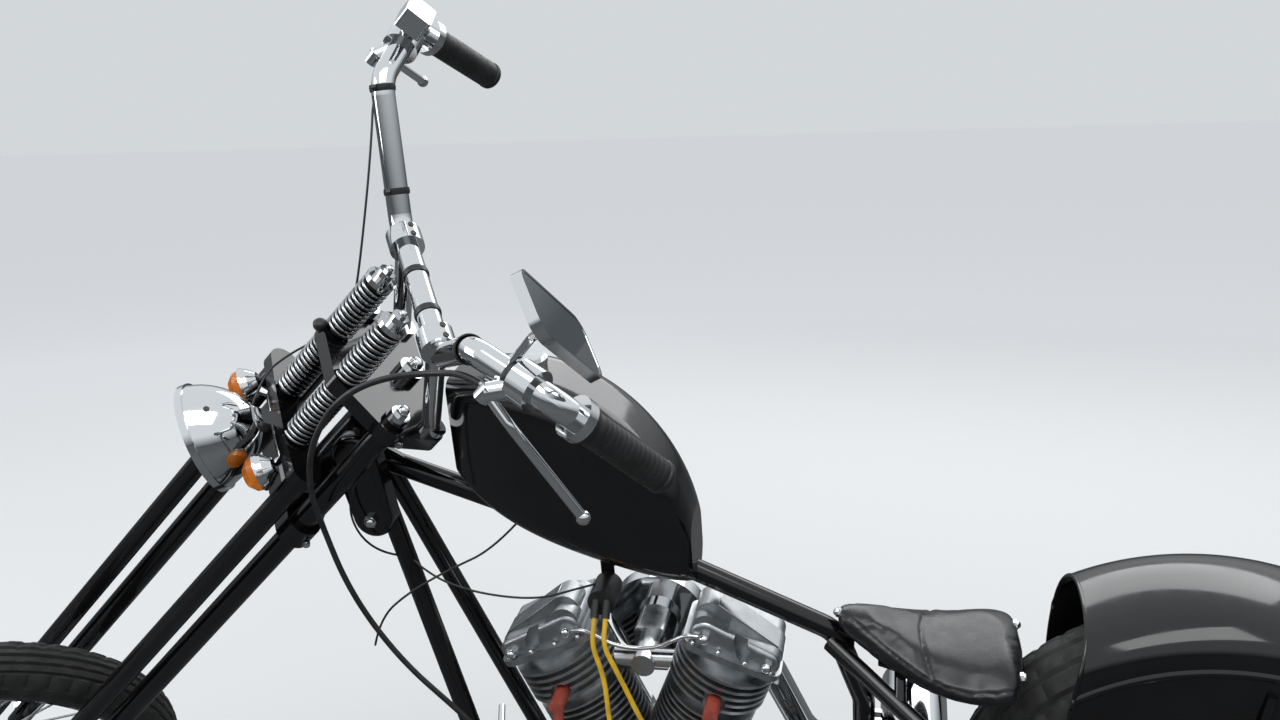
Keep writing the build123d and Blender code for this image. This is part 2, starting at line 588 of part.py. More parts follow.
# Rubber grips and chrome collars inboard of them
end, near = Vector(*bar_points[4]), Vector(*bar_points[3])
along = (near - end).normalized()
grip = rod(tuple(end - along * 3), tuple(end + along * grip_length), grip_r)
grip = grip - rod(tuple(end - along * seat_gap), tuple(near), bar_r + seat_gap)
add("grips", both(grip), fork_park)
collar = rod(tuple(end + along * (grip_length + 1)), tuple(end + along * (grip_length + 14)), 26)
add("handlebar", both(bar + post + collar), fork_park)

# Clutch lever and its perch on the left, brake lever with its reservoir on the right
rise_a, rise_b = Vector(*bar_points[2]), Vector(*bar_points[3])
rise = (rise_b - rise_a).normalized()
perch_mid = rise_a + (rise_b - rise_a) * 0.68
lever_pivot = Vector(160, 316, 396)
perch = rod(tuple(perch_mid - rise * 14), tuple(perch_mid + rise * 14), 25)
perch = perch + rod(tuple(perch_mid), tuple(lever_pivot), 12)
rise_bore = rod(tuple(rise_a), tuple(rise_b + rise * 20), bar_r + pin_gap)
lever = bent([tuple(lever_pivot), (135, 352, 392), (18, 418, 352)], 6, 14) + Pos(18, 418, 352) * Sphere(8.5)
lever = lever + rod(tuple(lever_pivot - Vector(0, 0, 9)), tuple(lever_pivot + Vector(0, 0, 9)), 10)
clutch_start = Vector(146, 292, 386)
clutch_next = Vector(140, 250, 360)
barrel_line = (clutch_next - clutch_start).normalized()
barrel = rod(tuple(clutch_start - barrel_line * 32), tuple(clutch_start), 8)
reservoir = Plane(origin=perch_mid + Vector(12, -6, 44), x_dir=rise).location * Box(62, 40, 30)
brake_perch = perch + fillet(reservoir.edges().filter_by(Axis.Z), 5)
brake_perch = brake_perch + rod(tuple(perch_mid), tuple(perch_mid + Vector(12, -6, 40)), 12)
levers = (perch + lever + barrel - rise_bore) + other(brake_perch + lever - rise_bore)
add("hand_controls", levers, fork_park)

# Mirror on a curved stem
mirror_facing = (-0.381, 0.053, 0.923)
mirror_spot = Plane(origin=(187, 357, 534), x_dir=(0.899, 0.255, 0.356), z_dir=mirror_facing).location
case_half_t = 6.0
shell = mirror_spot * extrude(RectangleRounded(172, 78, 22), case_half_t, both=True)
recess = mirror_spot * Pos(0, 0, case_half_t - 2) * extrude(RectangleRounded(164, 70, 18), 9)
stalk = bent([(146, 300, 421), (158, 306, 478), (188, 350, 529)], 5, 30)
add("mirror", (shell - recess) + (stalk - shell - rise_bore), fork_park)
glass = mirror_spot * Pos(0, 0, case_half_t - 2) * extrude(RectangleRounded(163, 69, 17.5), 1.5)
add("mirror_glass", glass, fork_park)

# Headlight bell, its glass and the bracket that carries it with the two signals
dip = radians(rake + lamp_tip)
lamp_line = Vector(cos(dip), 0, -sin(dip))
lamp_spot = Plane(origin=(186, 0, -78), x_dir=(0, 1, 0), z_dir=lamp_line).location
rim_in = lamp_r - 4
outer_bell = [Line((0, -lamp_depth), (20, -lamp_depth)),
              ThreePointArc((20, -lamp_depth), (57, -lamp_depth * 0.58), (lamp_r - 3, -4)),
              Polyline((lamp_r - 3, -4), (lamp_r, -4), (lamp_r, 6))]
front_face = Polyline((lamp_r, 6), (0, 6), (0, -lamp_depth))
solid_bell = revolve(make_face(Plane.XZ * Curve(outer_bell + [front_face])), Axis.Z, 360)
inner_bell = [Line((0, 3 - lamp_depth), (20, 3 - lamp_depth)),
              ThreePointArc((20, 3 - lamp_depth), (54, 2 - lamp_depth * 0.58), (rim_in - 4, -5)),
              Polyline((rim_in - 4, -5), (rim_in - 4, -3), (rim_in, -3), (rim_in, 7), (0, 7),
                       (0, 3 - lamp_depth))]
bell = solid_bell - revolve(make_face(Plane.XZ * Curve(inner_bell)), Axis.Z, 360)
add("headlight", lamp_spot * bell, fork_park)
glass_r = rim_in - seat_gap
lamp_glass = turned([(0, -3), (glass_r, -3), (glass_r, 3), (glass_r * 0.82, 7), (glass_r * 0.56, 10),
                     (glass_r * 0.28, 11.6), (0, 12)])
add("headlight_glass", lamp_spot * lamp_glass, fork_park)
bracket = block(100, 152, -13, 13, -30, bridge_w) + rod((112, -62, -24), (112, 62, -24), 6)
signal_spot = Plane(origin=(139, 79, -40), x_dir=(0, 1, 0), z_dir=lamp_line).location
bowl = turned([(0, -22), (13, -21), (22, -10), (signal_r - 1, -3), (signal_r, 0), (0, 0)])
arms = both(rod((112, 60, -24), (132, 77, -36), 6) + signal_spot * bowl)
add("lamp_bracket", (bracket + arms) - lamp_spot * solid_bell, fork_park)
lens = turned([(0, 0), (signal_r - 2, 0), (signal_r - 4, 10), (14, 19), (0, 22)])
add("signal_lenses", both(signal_spot * lens), fork_park)


# Held cables: the clutch cable crosses the steering from its lever to the primary case
def in_fork(x, y, z):
    return tuple((fork_at.inverse() * Pos(x, y, z)).position)


ferrule_line = (Vector(*ferrule_b) - Vector(*ferrule_a)).normalized()
last_bend = Vector(*ferrule_b) + ferrule_line * 84
clutch_route = [tuple(clutch_start), tuple(clutch_next), (131, 200, 311), (165, 168, 250), (185, 160, 190),
                (168, 158, 110), (120, 150, 30), in_fork(1169, 145, 848), in_fork(1142, 150, 738),
                in_fork(1085, 150, 631), in_fork(1008, 150, 548), in_fork(950, 142, 470),
                in_fork(*last_bend), in_fork(*ferrule_b)]
add("clutch_cable", cable(clutch_route, cable_r), fork_park)

# Side stand: its foot lies flat on the ground, its leg leans forward onto its stop
stand_x, stand_y, stand_z = 835.0, 166.0, 122.0
pivot = (park * Pos(stand_x, stand_y, stand_z)).position
foot = Vector(pivot.X + 95, pivot.Y + 145, 13)
leg_line = (foot - pivot).normalized()
folded = Plane(park * Plane(origin=(0, 0, 0), x_dir=(-1, 0, 0), z_dir=(0, 1, 0)).location).x_dir
stand_axis = leg_line.cross(folded).normalized()
stand_bore = 8.0
stand = rod(tuple(pivot - stand_axis * 12), tuple(pivot + stand_axis * 12), 17)
stand = stand + rod(tuple(pivot), tuple(foot), 10.5) + Pos(foot.X, foot.Y, 5) * Box(62, 52, 10)
stand = stand - rod(tuple(pivot - stand_axis * 30), tuple(pivot + stand_axis * 30), stand_bore + pin_gap)
add("side_stand", stand, Location())
lug = rod(tuple(pivot - stand_axis * 24), tuple(pivot + stand_axis * 18), stand_bore)
lug = lug + rod(tuple(pivot - stand_axis * 24), tuple(pivot - stand_axis * (12 + rest_gap)), 16)
lug = lug + rod(tuple(pivot + stand_axis * (12 + rest_gap)), tuple(pivot + stand_axis * 18), 14)
rail_point = (park * Pos(stand_x, rail_y, rail_z)).position
lug = lug + rod(tuple(rail_point), tuple(pivot - stand_axis * 22), 11)
add("frame", park * frame + lug, Location())

# Origin at the middle of the whole, standing on the ground
box = Compound([shape for _, shape in parts]).bounding_box()
shift = Location((-(box.min.X + box.max.X) / 2, -(box.min.Y + box.max.Y) / 2, -box.min.Z))
for name, shape in parts:
    export_step(shift * shape, "parts/" + name + ".step")
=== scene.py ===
import json
from math import atan2, cos, hypot, pi, radians, sin, sqrt

import bmesh
import bpy
from mathutils import Matrix, Vector


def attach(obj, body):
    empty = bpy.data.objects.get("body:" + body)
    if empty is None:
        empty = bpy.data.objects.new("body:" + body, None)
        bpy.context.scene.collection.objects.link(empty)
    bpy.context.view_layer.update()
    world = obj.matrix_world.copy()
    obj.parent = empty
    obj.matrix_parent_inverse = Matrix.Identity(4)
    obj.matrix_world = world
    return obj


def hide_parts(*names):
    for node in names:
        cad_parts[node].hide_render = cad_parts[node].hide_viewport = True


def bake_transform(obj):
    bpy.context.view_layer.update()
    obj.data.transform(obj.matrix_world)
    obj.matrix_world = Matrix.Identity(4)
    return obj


bl_info = {
    "name": "Spring Fork Chopper",
    "version": (1, 0, 0),
    "blender": (4, 5, 0),
    "location": "3D View > Sidebar > Chopper",
    "description": "Dresses the packed chopper motorcycle with its finished surfaces and soft parts",
    "category": "Object",
}

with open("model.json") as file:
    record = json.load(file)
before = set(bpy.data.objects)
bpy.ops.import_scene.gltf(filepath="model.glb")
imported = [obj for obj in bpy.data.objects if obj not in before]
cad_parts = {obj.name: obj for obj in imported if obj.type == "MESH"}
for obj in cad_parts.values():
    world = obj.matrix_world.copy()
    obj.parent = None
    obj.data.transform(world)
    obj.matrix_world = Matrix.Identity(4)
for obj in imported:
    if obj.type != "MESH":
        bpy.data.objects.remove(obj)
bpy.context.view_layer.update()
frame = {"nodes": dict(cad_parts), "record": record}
NODES = frame["nodes"]
MM = 0.001

# Spots and sizes of the solids, in millimetres. The bike frame stands upright below: X forward, Y to
# the left and Z up, from the ground under the rear axle. The fork frame starts on the steering axis:
# W up along that axis, V to the left and U forward.
NECK_X, NECK_Z, REAR_R, FRONT_R = 1173.0, 908.0, 330.0, 342.0
FRONT_AXLE_U, FRONT_AXLE_W = 143.0, -962.8
PIVOT_W = FRONT_AXLE_W + 4
REAR_LEG_U, FRONT_LEG_U, LEG_V = 46, 100, 103
SPRING_U, SPRING_V = 105, 43
BAR_U, BAR_W = 77, 275
CRANK_X, CRANK_Z, GEAR_X = 770.0, 262.0, 560.0
HALF_VEE, HEAD_TOP = 22.5, 348.0
SPROCKET_R, GEAR_R, CHAIN_Y, CHAIN_PITCH = 100, 42, -112, 15.875


def joint(name):
    for entry in frame["record"]["behaviour"]["joints"]:
        if entry["name"] == name:
            return Vector(entry["pos_m"]), Vector(entry["axis"]).normalized()
    raise RuntimeError("no joint named " + name)


def matrix(origin, x, y, z):
    turn = Matrix((x, y, z)).transposed() * MM
    return Matrix.Translation(origin) @ turn.to_4x4()


# The line from rear axle to neck, known in both frames, gives the upright frame its lean
def bike_matrix():
    axle, y = joint("rear_wheel_spin")
    neck, _ = joint("steering")
    run = (neck - axle) / MM
    across = y.cross(run)
    rise = NECK_Z - REAR_R
    size = NECK_X ** 2 + rise ** 2
    x = (NECK_X * run + rise * across) / size
    z = (rise * run - NECK_X * across) / size
    return matrix(axle - z * REAR_R * MM, x, y, z)


def fork_matrix():
    neck, w = joint("steering")
    _, v = joint("front_wheel_spin")
    return matrix(neck, v.cross(w), v, w)


BIKE = bike_matrix()
FORK = fork_matrix()


def placed(at, points):
    return [at @ Vector(p) for p in points]


# Colours are written as sRGB hex and turned linear here
def linear(code):
    parts = [int(code[i:i + 2], 16) / 255 for i in (1, 3, 5)]
    return tuple(c / 12.92 if c <= 0.04045 else ((c + 0.055) / 1.055) ** 2.4 for c in parts) + (1.0,)


# A colour from the sidebar, darkened by a share
def shade(colour, share):
    return tuple(c * share for c in tuple(colour)[:3]) + (1.0,)


# One node with its settings, values and links
def node(tree, kind, inputs=(), **settings):
    made = tree.nodes.new(kind)
    for key, value in settings.items():
        setattr(made, key, value)
    for key, value in dict(inputs).items():
        socket = made.inputs[key]
        if isinstance(value, bpy.types.NodeSocket):
            tree.links.new(value, socket)
        else:
            socket.default_value = value
    return made


def blank(name):
    made = bpy.data.materials.new(name)
    made.use_nodes = True
    made.node_tree.nodes.clear()
    return made, made.node_tree


def place(tree):
    return node(tree, "ShaderNodeTexCoord").outputs["Object"]


# Soft mottling whose patches measure about the given size
def noise(tree, size_mm, detail=3.0, rough=0.55):
    return node(tree, "ShaderNodeTexNoise", {
        "Vector": place(tree), "Scale": 1 / (size_mm * MM), "Detail": detail, "Roughness": rough,
    }).outputs["Fac"]


def spread(tree, value, low, high, start=0.3, stop=0.7):
    return node(tree, "ShaderNodeMapRange", {
        "Value": value, "From Min": start, "From Max": stop, "To Min": low, "To Max": high,
    }).outputs["Result"]


def tint(tree, value, dark, light, start=0.35, stop=0.65):
    ramp = node(tree, "ShaderNodeValToRGB", {"Fac": value})
    ends = ramp.color_ramp.elements
    for i, (position, colour) in enumerate(((start, dark), (stop, light))):
        ends[i].position = position
        ends[i].color = linear(colour) if isinstance(colour, str) else colour
    return ramp.outputs["Color"]


def bump(tree, height, depth_mm, normal=None):
    inputs = {"Height": height, "Strength": 1.0, "Distance": depth_mm * MM}
    if normal is not None:
        inputs["Normal"] = normal
    return node(tree, "ShaderNodeBump", inputs).outputs["Normal"]


def finish(tree, inputs):
    shader = node(tree, "ShaderNodeBsdfPrincipled", inputs)
    node(tree, "ShaderNodeOutputMaterial", {"Surface": shader.outputs["BSDF"]})


# Sprayed and polished black enamel: deep mirror gloss with faint orange peel and dust
def black_enamel(colour):
    made, tree = blank("black_enamel_sprayed")
    finish(tree, {
        "Base Color": tint(tree, noise(tree, 90, 5), shade(colour, 0.6), shade(colour, 1.0)),
        "Roughness": spread(tree, noise(tree, 35, 4), 0.07, 0.15),
        "Coat Weight": 0.1, "Coat Roughness": 0.03, "IOR": 1.5,
        "Normal": bump(tree, noise(tree, 5, 1), 0.012),
    })
    return made


# Polished chrome plate: bright mirror with faint haze where hands touch it
def chrome_plate():
    made, tree = blank("chrome_plate_polished")
    finish(tree, {
        "Base Color": linear("#DADCDD"), "Metallic": 1.0,
        "Roughness": spread(tree, noise(tree, 45, 5), 0.035, 0.11),
    })
    return made


# Sand-cast aluminium: dull grain, darker in random patches; the sand's own grain
# is finer than shows in a picture, so it is drawn 1.6 mm coarse
def cast_aluminium():
    made, tree = blank("aluminium_sand_cast")
    grain = bump(tree, noise(tree, 1.6, 3, 0.7), 0.10)
    finish(tree, {
        "Base Color": tint(tree, noise(tree, 28, 5), "#9C9FA1", "#B9BCBE", 0.3, 0.7), "Metallic": 1.0,
        "Roughness": spread(tree, noise(tree, 14, 4), 0.28, 0.46),
        "Normal": bump(tree, noise(tree, 9, 2), 0.10, grain),
    })
    return made


# Machined and buffed aluminium: brighter edge strips and covers with fine haze
def buffed_aluminium():
    made, tree = blank("aluminium_buffed")
    finish(tree, {
        "Base Color": linear("#C4C6C7"), "Metallic": 1.0,
        "Roughness": spread(tree, noise(tree, 22, 4), 0.14, 0.26),
        "Normal": bump(tree, noise(tree, 3, 2), 0.012),
    })
    return made


# Drawn spring wire with a bright zinc finish: soft sparkle along each coil
def spring_wire():
    made, tree = blank("spring_wire_zinc")
    finish(tree, {
        "Base Color": tint(tree, noise(tree, 12, 3), "#8E9092", "#B9BBBD"), "Metallic": 1.0,
        "Roughness": spread(tree, noise(tree, 8, 3), 0.10, 0.2),
    })
    return made


# Oiled steel of chain, sprocket and disc: dark film over bright metal
def oiled_steel():
    made, tree = blank("steel_oiled")
    finish(tree, {
        "Base Color": tint(tree, noise(tree, 16, 4), "#4A4A4B", "#6A6B6D"), "Metallic": 1.0,
        "Roughness": spread(tree, noise(tree, 9, 4), 0.26, 0.48),
    })
    return made


# Moulded tyre rubber: matte with greyish bloom and fine mould texture
def tyre_rubber():
    made, tree = blank("tyre_rubber_moulded")
    finish(tree, {
        "Base Color": tint(tree, noise(tree, 40, 5), "#131313", "#242423"),
        "Roughness": spread(tree, noise(tree, 12, 4), 0.62, 0.82), "IOR": 1.52,
        "Normal": bump(tree, noise(tree, 2.5, 3, 0.65), 0.10),
    })
    return made


# Soft moulded rubber of grips, pegs and sleeves: satin where hands polish it
def grip_rubber():
    made, tree = blank("grip_rubber_moulded")
    finish(tree, {
        "Base Color": tint(tree, noise(tree, 25, 4), "#121212", "#1D1D1D"),
        "Roughness": spread(tree, noise(tree, 10, 4), 0.42, 0.6), "IOR": 1.52,
        "Normal": bump(tree, noise(tree, 1.4, 2, 0.6), 0.05),
    })
    return made


# Full-grain black leather, rubbed to a sheen: soft creases and a pebbled grain, drawn 1.6 mm coarse
# because the real one is too fine to show
def black_leather(colour):
    made, tree = blank("leather_full_grain_black")
    cells = node(tree, "ShaderNodeTexVoronoi", {"Vector": place(tree), "Scale": 620.0},
                 feature="DISTANCE_TO_EDGE")
    grain = bump(tree, cells.outputs["Distance"], 0.10)
    # The seat colour it is given carries a blue tint, a painted reflection of the sky on the black leather
    finish(tree, {
        "Base Color": tint(tree, noise(tree, 60, 5), shade(colour, 0.45), shade(colour, 1.0)),
        "Roughness": spread(tree, noise(tree, 30, 5), 0.22, 0.36), "IOR": 1.5,
        "Sheen Weight": 0.05, "Sheen Roughness": 0.4,
        "Normal": bump(tree, noise(tree, 18, 3), 0.25, grain),
    })
    return made


# Moulded lens plastic: concentric flutes about 3.5 mm apart break up the light
def lens_plastic(name, colour):
    made, tree = blank(name)
    rings = node(tree, "ShaderNodeTexWave", {"Vector": place(tree), "Scale": 90.0, "Distortion": 0.3},
                 wave_type="RINGS")
    finish(tree, {
        "Base Color": shade(colour, 1.0), "Roughness": 0.12, "IOR": 1.49, "Transmission Weight": 0.55,
        "Normal": bump(tree, rings.outputs["Fac"], 0.15),
    })
    return made


# Pressed headlamp glass: clear with soft waves
def lamp_glass():
    made, tree = blank("glass_pressed_clear")
    finish(tree, {
        "Base Color": linear("#F4F8FA"), "Roughness": 0.03, "IOR": 1.5, "Transmission Weight": 1.0,
        "Normal": bump(tree, noise(tree, 20, 1), 0.25),
    })
    return made


# Silvered mirror glass: a clear picture of what is round it, with the faintest haze
def mirror_glass():
    made, tree = blank("glass_silvered")
    finish(tree, {
        "Base Color": linear("#E8EBED"), "Metallic": 1.0,
        "Roughness": spread(tree, noise(tree, 60, 3), 0.01, 0.04),
    })
    return made


# Extruded cable sheath and insulation: satin vinyl, slightly dusty
def sheath(name, dark, light):
    made, tree = blank(name)
    finish(tree, {
        "Base Color": tint(tree, noise(tree, 18, 4), dark, light),
        "Roughness": spread(tree, noise(tree, 8, 3), 0.3, 0.5), "IOR": 1.5,
    })
    return made


# Pale painted floor, paler far from the lamps. Polished metal sees it darker, so that its edges read.
FLOOR_NEAR, FLOOR_FAR = 1.0, 6.0


def studio_floor(colour):
    made, tree = blank("floor_painted_pale")
    path = node(tree, "ShaderNodeLightPath")
    away = node(tree, "ShaderNodeVectorMath", {0: place(tree)}, operation="LENGTH").outputs["Value"]
    far = spread(tree, away, 0.0, 1.0, FLOOR_NEAR, FLOOR_FAR)
    paint = tint(tree, far, shade(colour, 1.0), "#F4F6F8", 0.0, 1.0)
    seen = node(tree, "ShaderNodeMix", {0: path.outputs["Is Glossy Ray"], 6: paint,
                                        7: linear("#56585A")}, data_type="RGBA")
    finish(tree, {"Base Color": seen.outputs[2], "Roughness": 0.85})
    return made


MATERIALS = {}


def make_materials(settings):
    leads, boots = settings.leads, settings.boots
    MATERIALS.update({
        "enamel": black_enamel(settings.enamel),
        "chrome": chrome_plate(),
        "cast": cast_aluminium(),
        "buffed": buffed_aluminium(),
        "wire": spring_wire(),
        "steel": oiled_steel(),
        "tyre": tyre_rubber(),
        "rubber": grip_rubber(),
        "leather": black_leather(settings.leather),
        "amber": lens_plastic("lens_plastic_amber", settings.signal),
        "red": lens_plastic("lens_plastic_red", settings.tail),
        "glass": lamp_glass(),
        "mirror": mirror_glass(),
        "yellow": sheath("insulation_yellow_vinyl", shade(leads, 0.7), shade(leads, 1.0)),
        "boot": sheath("plug_boot_red_silicone", shade(boots, 0.6), shade(boots, 1.0)),
        "sheath": sheath("cable_sheath_black_vinyl", "#131314", "#222223"),
        "floor": studio_floor(settings.floor),
    })


FINISHES = {
    "enamel": ["frame", "fuel_tank", "rear_fender", "rear_legs", "front_legs", "coil_cover",
               "side_stand"],
    "chrome": ["handlebar", "hand_controls", "fork_nuts", "fork_rockers", "front_axle", "rear_axle",
               "headlight", "lamp_bracket", "mirror", "fuel_cap", "exhausts", "cam_cover", "air_cleaner",
               "tail_lamp", "oil_tank", "foot_controls", "front_wheel", "rear_wheel"],
    "cast": ["crankcase", "barrels", "heads", "rocker_boxes", "gearbox", "rear_caliper"],
    "buffed": ["primary_case", "carburettor"],
    "wire": ["springs"],
    "steel": ["drive_chain", "rear_sprocket", "rear_disc"],
    "tyre": ["front_tyre", "rear_tyre"],
    "rubber": ["grips", "pegs", "ignition_coil"],
    "leather": ["seat"],
    "amber": ["signal_lenses"],
    "red": ["tail_lens"],
    "glass": ["headlight_glass"],
    "mirror": ["mirror_glass"],
    "sheath": ["clutch_cable"],
    "yellow": ["plug_leads"],
    "boot": ["plug_boots"],
}


def dress_nodes():
    for key, names in FINISHES.items():
        for name in names:
            target = NODES[name]
            if not target.material_slots:
                target.data.materials.append(MATERIALS[key])
            for entry in target.material_slots:
                entry.material = MATERIALS[key]


# Finished mesh piece: rides on a body and takes one material
def piece(name, bm, body, key, flat_above=40, replaced=()):
    mesh = bpy.data.meshes.new(name)
    bmesh.ops.recalc_face_normals(bm, faces=bm.faces)
    bm.to_mesh(mesh)
    bm.free()
    made = bpy.data.objects.new(name, mesh)
    bpy.context.collection.objects.link(made)
    mesh.materials.append(MATERIALS[key])
    mesh.shade_smooth()
    mesh.set_sharp_from_angle(angle=radians(flat_above))
    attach(made, body)
    if replaced:
        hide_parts(*replaced)
    return made


# Rings of points, each joined to the one before it; closed joins the last ring to the first
def skin(bm, rings, closed=True, capped=False):
    rows = [[bm.verts.new(p) for p in ring] for ring in rings]
    pairs = list(zip(rows, rows[1:])) + ([(rows[-1], rows[0])] if closed else [])
    for a, b in pairs:
        count = len(a)
        for i in range(count):
            j = (i + 1) % count
            bm.faces.new((a[i], a[j], b[j], b[i]))
    if capped:
        bm.faces.new(rows[0])
        bm.faces.new(rows[-1])
    return rows


def ring_points(at, r, z, sides):
    return [at @ Vector((r * cos(2 * pi * i / sides), r * sin(2 * pi * i / sides), z)) for i in range(sides)]


# Form turned about Z from pairs of radius and height
def turned(bm, at, profile, sides, closed=False, capped=True):
    skin(bm, [ring_points(at, r, z, sides) for r, z in profile], closed, capped)


def peg(bm, at, r, low, high, sides):
    turned(bm, at, ((r, low), (r, high)), sides)


# Turns a peg's Z to lie along Y
ACROSS = Matrix.Rotation(pi / 2, 4, "X")


def facing(point, axis):
    axis = Vector(axis).normalized()
    return Matrix.Translation(point) @ axis.to_track_quat("Z", "Y").to_matrix().to_4x4()


# Hexagon nut standing at the origin with its axis along Z. Its top is a dome or a flat screw head,
# as shares of its radius across and up.
DOME = ((1.0, 0.69), (0.92, 1.005), (0.66, 1.302), (0.2, 1.41))
FLAT_HEAD = ((1.0, 0.69), (1.0, 1.1))
HEX_HEIGHT, TOP_ACROSS = 0.7, 0.8


def nut(bm, at, r, top=DOME):
    peg(bm, at, r, 0, HEX_HEIGHT * r, 6)
    turned(bm, at, [(TOP_ACROSS * r * across, r * up) for across, up in top], 16)


# Round tube along a smooth line that ends on its first and last point
def tube(name, points, r, body, key):
    curve = bpy.data.curves.new(name, "CURVE")
    curve.dimensions = "3D"
    curve.bevel_depth = r * MM
    curve.bevel_resolution = 4
    curve.resolution_u = 10
    spline = curve.splines.new("NURBS")
    spline.points.add(len(points) - 1)
    for entry, spot in zip(spline.points, points):
        entry.co = (*spot, 1)
    spline.order_u = 3
    spline.use_endpoint_u = True
    line = bpy.data.objects.new(name + "_line", curve)
    bpy.context.collection.objects.link(line)
    bpy.context.view_layer.update()
    mesh = bpy.data.meshes.new_from_object(line.evaluated_get(bpy.context.evaluated_depsgraph_get()))
    bpy.data.objects.remove(line)
    made = bpy.data.objects.new(name, mesh)
    bpy.context.collection.objects.link(made)
    mesh.name = name
    mesh.materials.clear()
    mesh.materials.append(MATERIALS[key])
    mesh.shade_smooth()
    if body:
        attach(made, body)
    return made


def applied(obj):
    shaped = obj.evaluated_get(bpy.context.evaluated_depsgraph_get())
    mesh = bpy.data.meshes.new_from_object(shaped)
    obj.modifiers.clear()
    obj.data = mesh
    mesh.name = obj.name


# Tread, as shares of the half width of the crown and of the groove depth
TREAD_STEPS, CROWN_STEPS = 240, 40
GROOVE_HALF, CENTRE_RIB, SHOULDER = 0.026, 0.08, 0.8
CROWN_SIPE, SIDE_SIPE = 0.55, 0.9
BEAD_GAP, WALL_SWELL = 0.4, 1.5


# Tyre with grooves round its crown and sipes across it
def tread_rings(section, half, bead, rim_half, r, grooves, sipe_every, deep):
    centre = r - section
    widest = half / section
    limit = atan2(widest, sqrt(1 - widest * widest))
    angles = [limit * (2 * i / CROWN_STEPS - 1) for i in range(CROWN_STEPS + 1)]
    edge, seat = centre + section * cos(limit), bead + BEAD_GAP
    wall = [(rim_half + (half - rim_half) * s + WALL_SWELL * sin(pi * s), seat + (edge - bead) * s)
            for s in (0.75, 0.5, 0.25)]
    rings = []
    for step in range(TREAD_STEPS):
        turn = 2 * pi * step / TREAD_STEPS
        ring = [(-rim_half, seat)] + [(-y, q) for y, q in reversed(wall)]
        for angle in angles:
            share = abs(angle) / limit
            if any(abs(share - groove) < GROOVE_HALF for groove in grooves):
                depth = deep
            elif grooves[-1] < share < SHOULDER and step % sipe_every == 0:
                depth = SIDE_SIPE * deep
            elif CENTRE_RIB < share < grooves[-1] and step % sipe_every == sipe_every // 2:
                depth = CROWN_SIPE * deep
            else:
                depth = 0.0
            ring.append(((section - depth) * sin(angle), centre + (section - depth) * cos(angle)))
        ring += wall + [(rim_half, seat)]
        rings.append([(q * cos(turn), y, q * sin(turn)) for y, q in ring])
    return rings


def make_tyre(name, at, body, node_name, **sizes):
    bm = bmesh.new()
    skin(bm, tread_rings(**sizes))
    bm.transform(at)
    piece(name, bm, body, "tyre", 30, [node_name])


def make_tyres(tread_depth):
    deep = tread_depth / MM
    front = FORK @ Matrix.Translation((FRONT_AXLE_U, 0, FRONT_AXLE_W))
    make_tyre("front_tyre_tread", front, "front_wheel", "front_tyre", section=45, half=45, bead=262,
              rim_half=30, r=FRONT_R, grooves=(0.0, 0.2, 0.42), sipe_every=4, deep=deep)
    rear = BIKE @ Matrix.Translation((0, 0, REAR_R))
    make_tyre("rear_tyre_tread", rear, "rear_wheel", "rear_tyre", section=100, half=92, bead=228,
              rim_half=72, r=REAR_R, grooves=(0.0, 0.3, 0.62), sipe_every=5, deep=deep)


# Places of the chain's pins, one pitch apart on the line round both sprockets
def chain_line(big, small, far_x, rise, pitch):
    gap = hypot(far_x, rise)
    straight = sqrt(gap * gap - (big - small) ** 2)
    lean = atan2(rise, far_x)
    tilt = pi / 2 - atan2(big - small, straight)
    top, low = lean + tilt, lean - tilt
    wrap = 2 * tilt * small
    total = 2 * straight + wrap + (2 * pi - 2 * tilt) * big

    def on_big(turn):
        return Vector((big * cos(turn), big * sin(turn)))

    def on_small(turn):
        return Vector((far_x + small * cos(turn), rise + small * sin(turn)))

    count = 2 * round(total / pitch / 2)
    places = []
    for i in range(count):
        s = total * i / count
        if s < straight:
            spot = on_big(top).lerp(on_small(top), s / straight)
        elif s < straight + wrap:
            spot = on_small(top - (s - straight) / small)
        elif s < 2 * straight + wrap:
            spot = on_small(low).lerp(on_big(low), (s - straight - wrap) / straight)
        else:
            spot = on_big(low - (s - 2 * straight - wrap) / big)
        places.append(spot)
    return places


ROLLER_R, ROLLER_HALF = 5.0, 5
PLATE_R, PLATE_WAIST, PLATE_THICK = 6.0, 4.0, 1.8
OUTER_PLATE_Y, INNER_PLATE_Y = 6.0, 4.2


def make_chain():
    places = chain_line(SPROCKET_R, GEAR_R, GEAR_X, CRANK_Z - REAR_R, CHAIN_PITCH)
    bm = bmesh.new()
    for i, spot in enumerate(places):
        run = places[(i + 1) % len(places)] - spot
        turn = run.normalized()
        at = BIKE @ Matrix(((turn.x, 0, -turn.y, spot.x), (0, 1, 0, CHAIN_Y),
                            (turn.y, 0, turn.x, REAR_R + spot.y), (0, 0, 0, 1)))
        peg(bm, at @ ACROSS, ROLLER_R, -ROLLER_HALF, ROLLER_HALF, 10)
        plate = []
        for j in range(16):
            angle = 2 * pi * j / 16
            x = (run.length if cos(angle) > 0 else 0) + PLATE_R * cos(angle)
            waist = PLATE_WAIST if abs(cos(angle)) < 0.2 else PLATE_R
            plate.append((x, waist * sin(angle)))
        out = OUTER_PLATE_Y if i % 2 else INNER_PLATE_Y
        for side in (-1, 1):
            faces = (side * out, side * (out + PLATE_THICK))
            skin(bm, [[at @ Vector((x, y, z)) for x, z in plate] for y in faces], closed=False, capped=True)
    piece("drive_chain_links", bm, "frame", "steel", 30, ["drive_chain"])


# Frame of one cylinder: Z up its bore from the crank, side 1 in front and side -1 behind
def cylinder_matrix(side):
    tilt = side * radians(HALF_VEE)
    return BIKE @ Matrix.Translation((CRANK_X, 0, CRANK_Z)) @ Matrix.Rotation(tilt, 4, "Y")


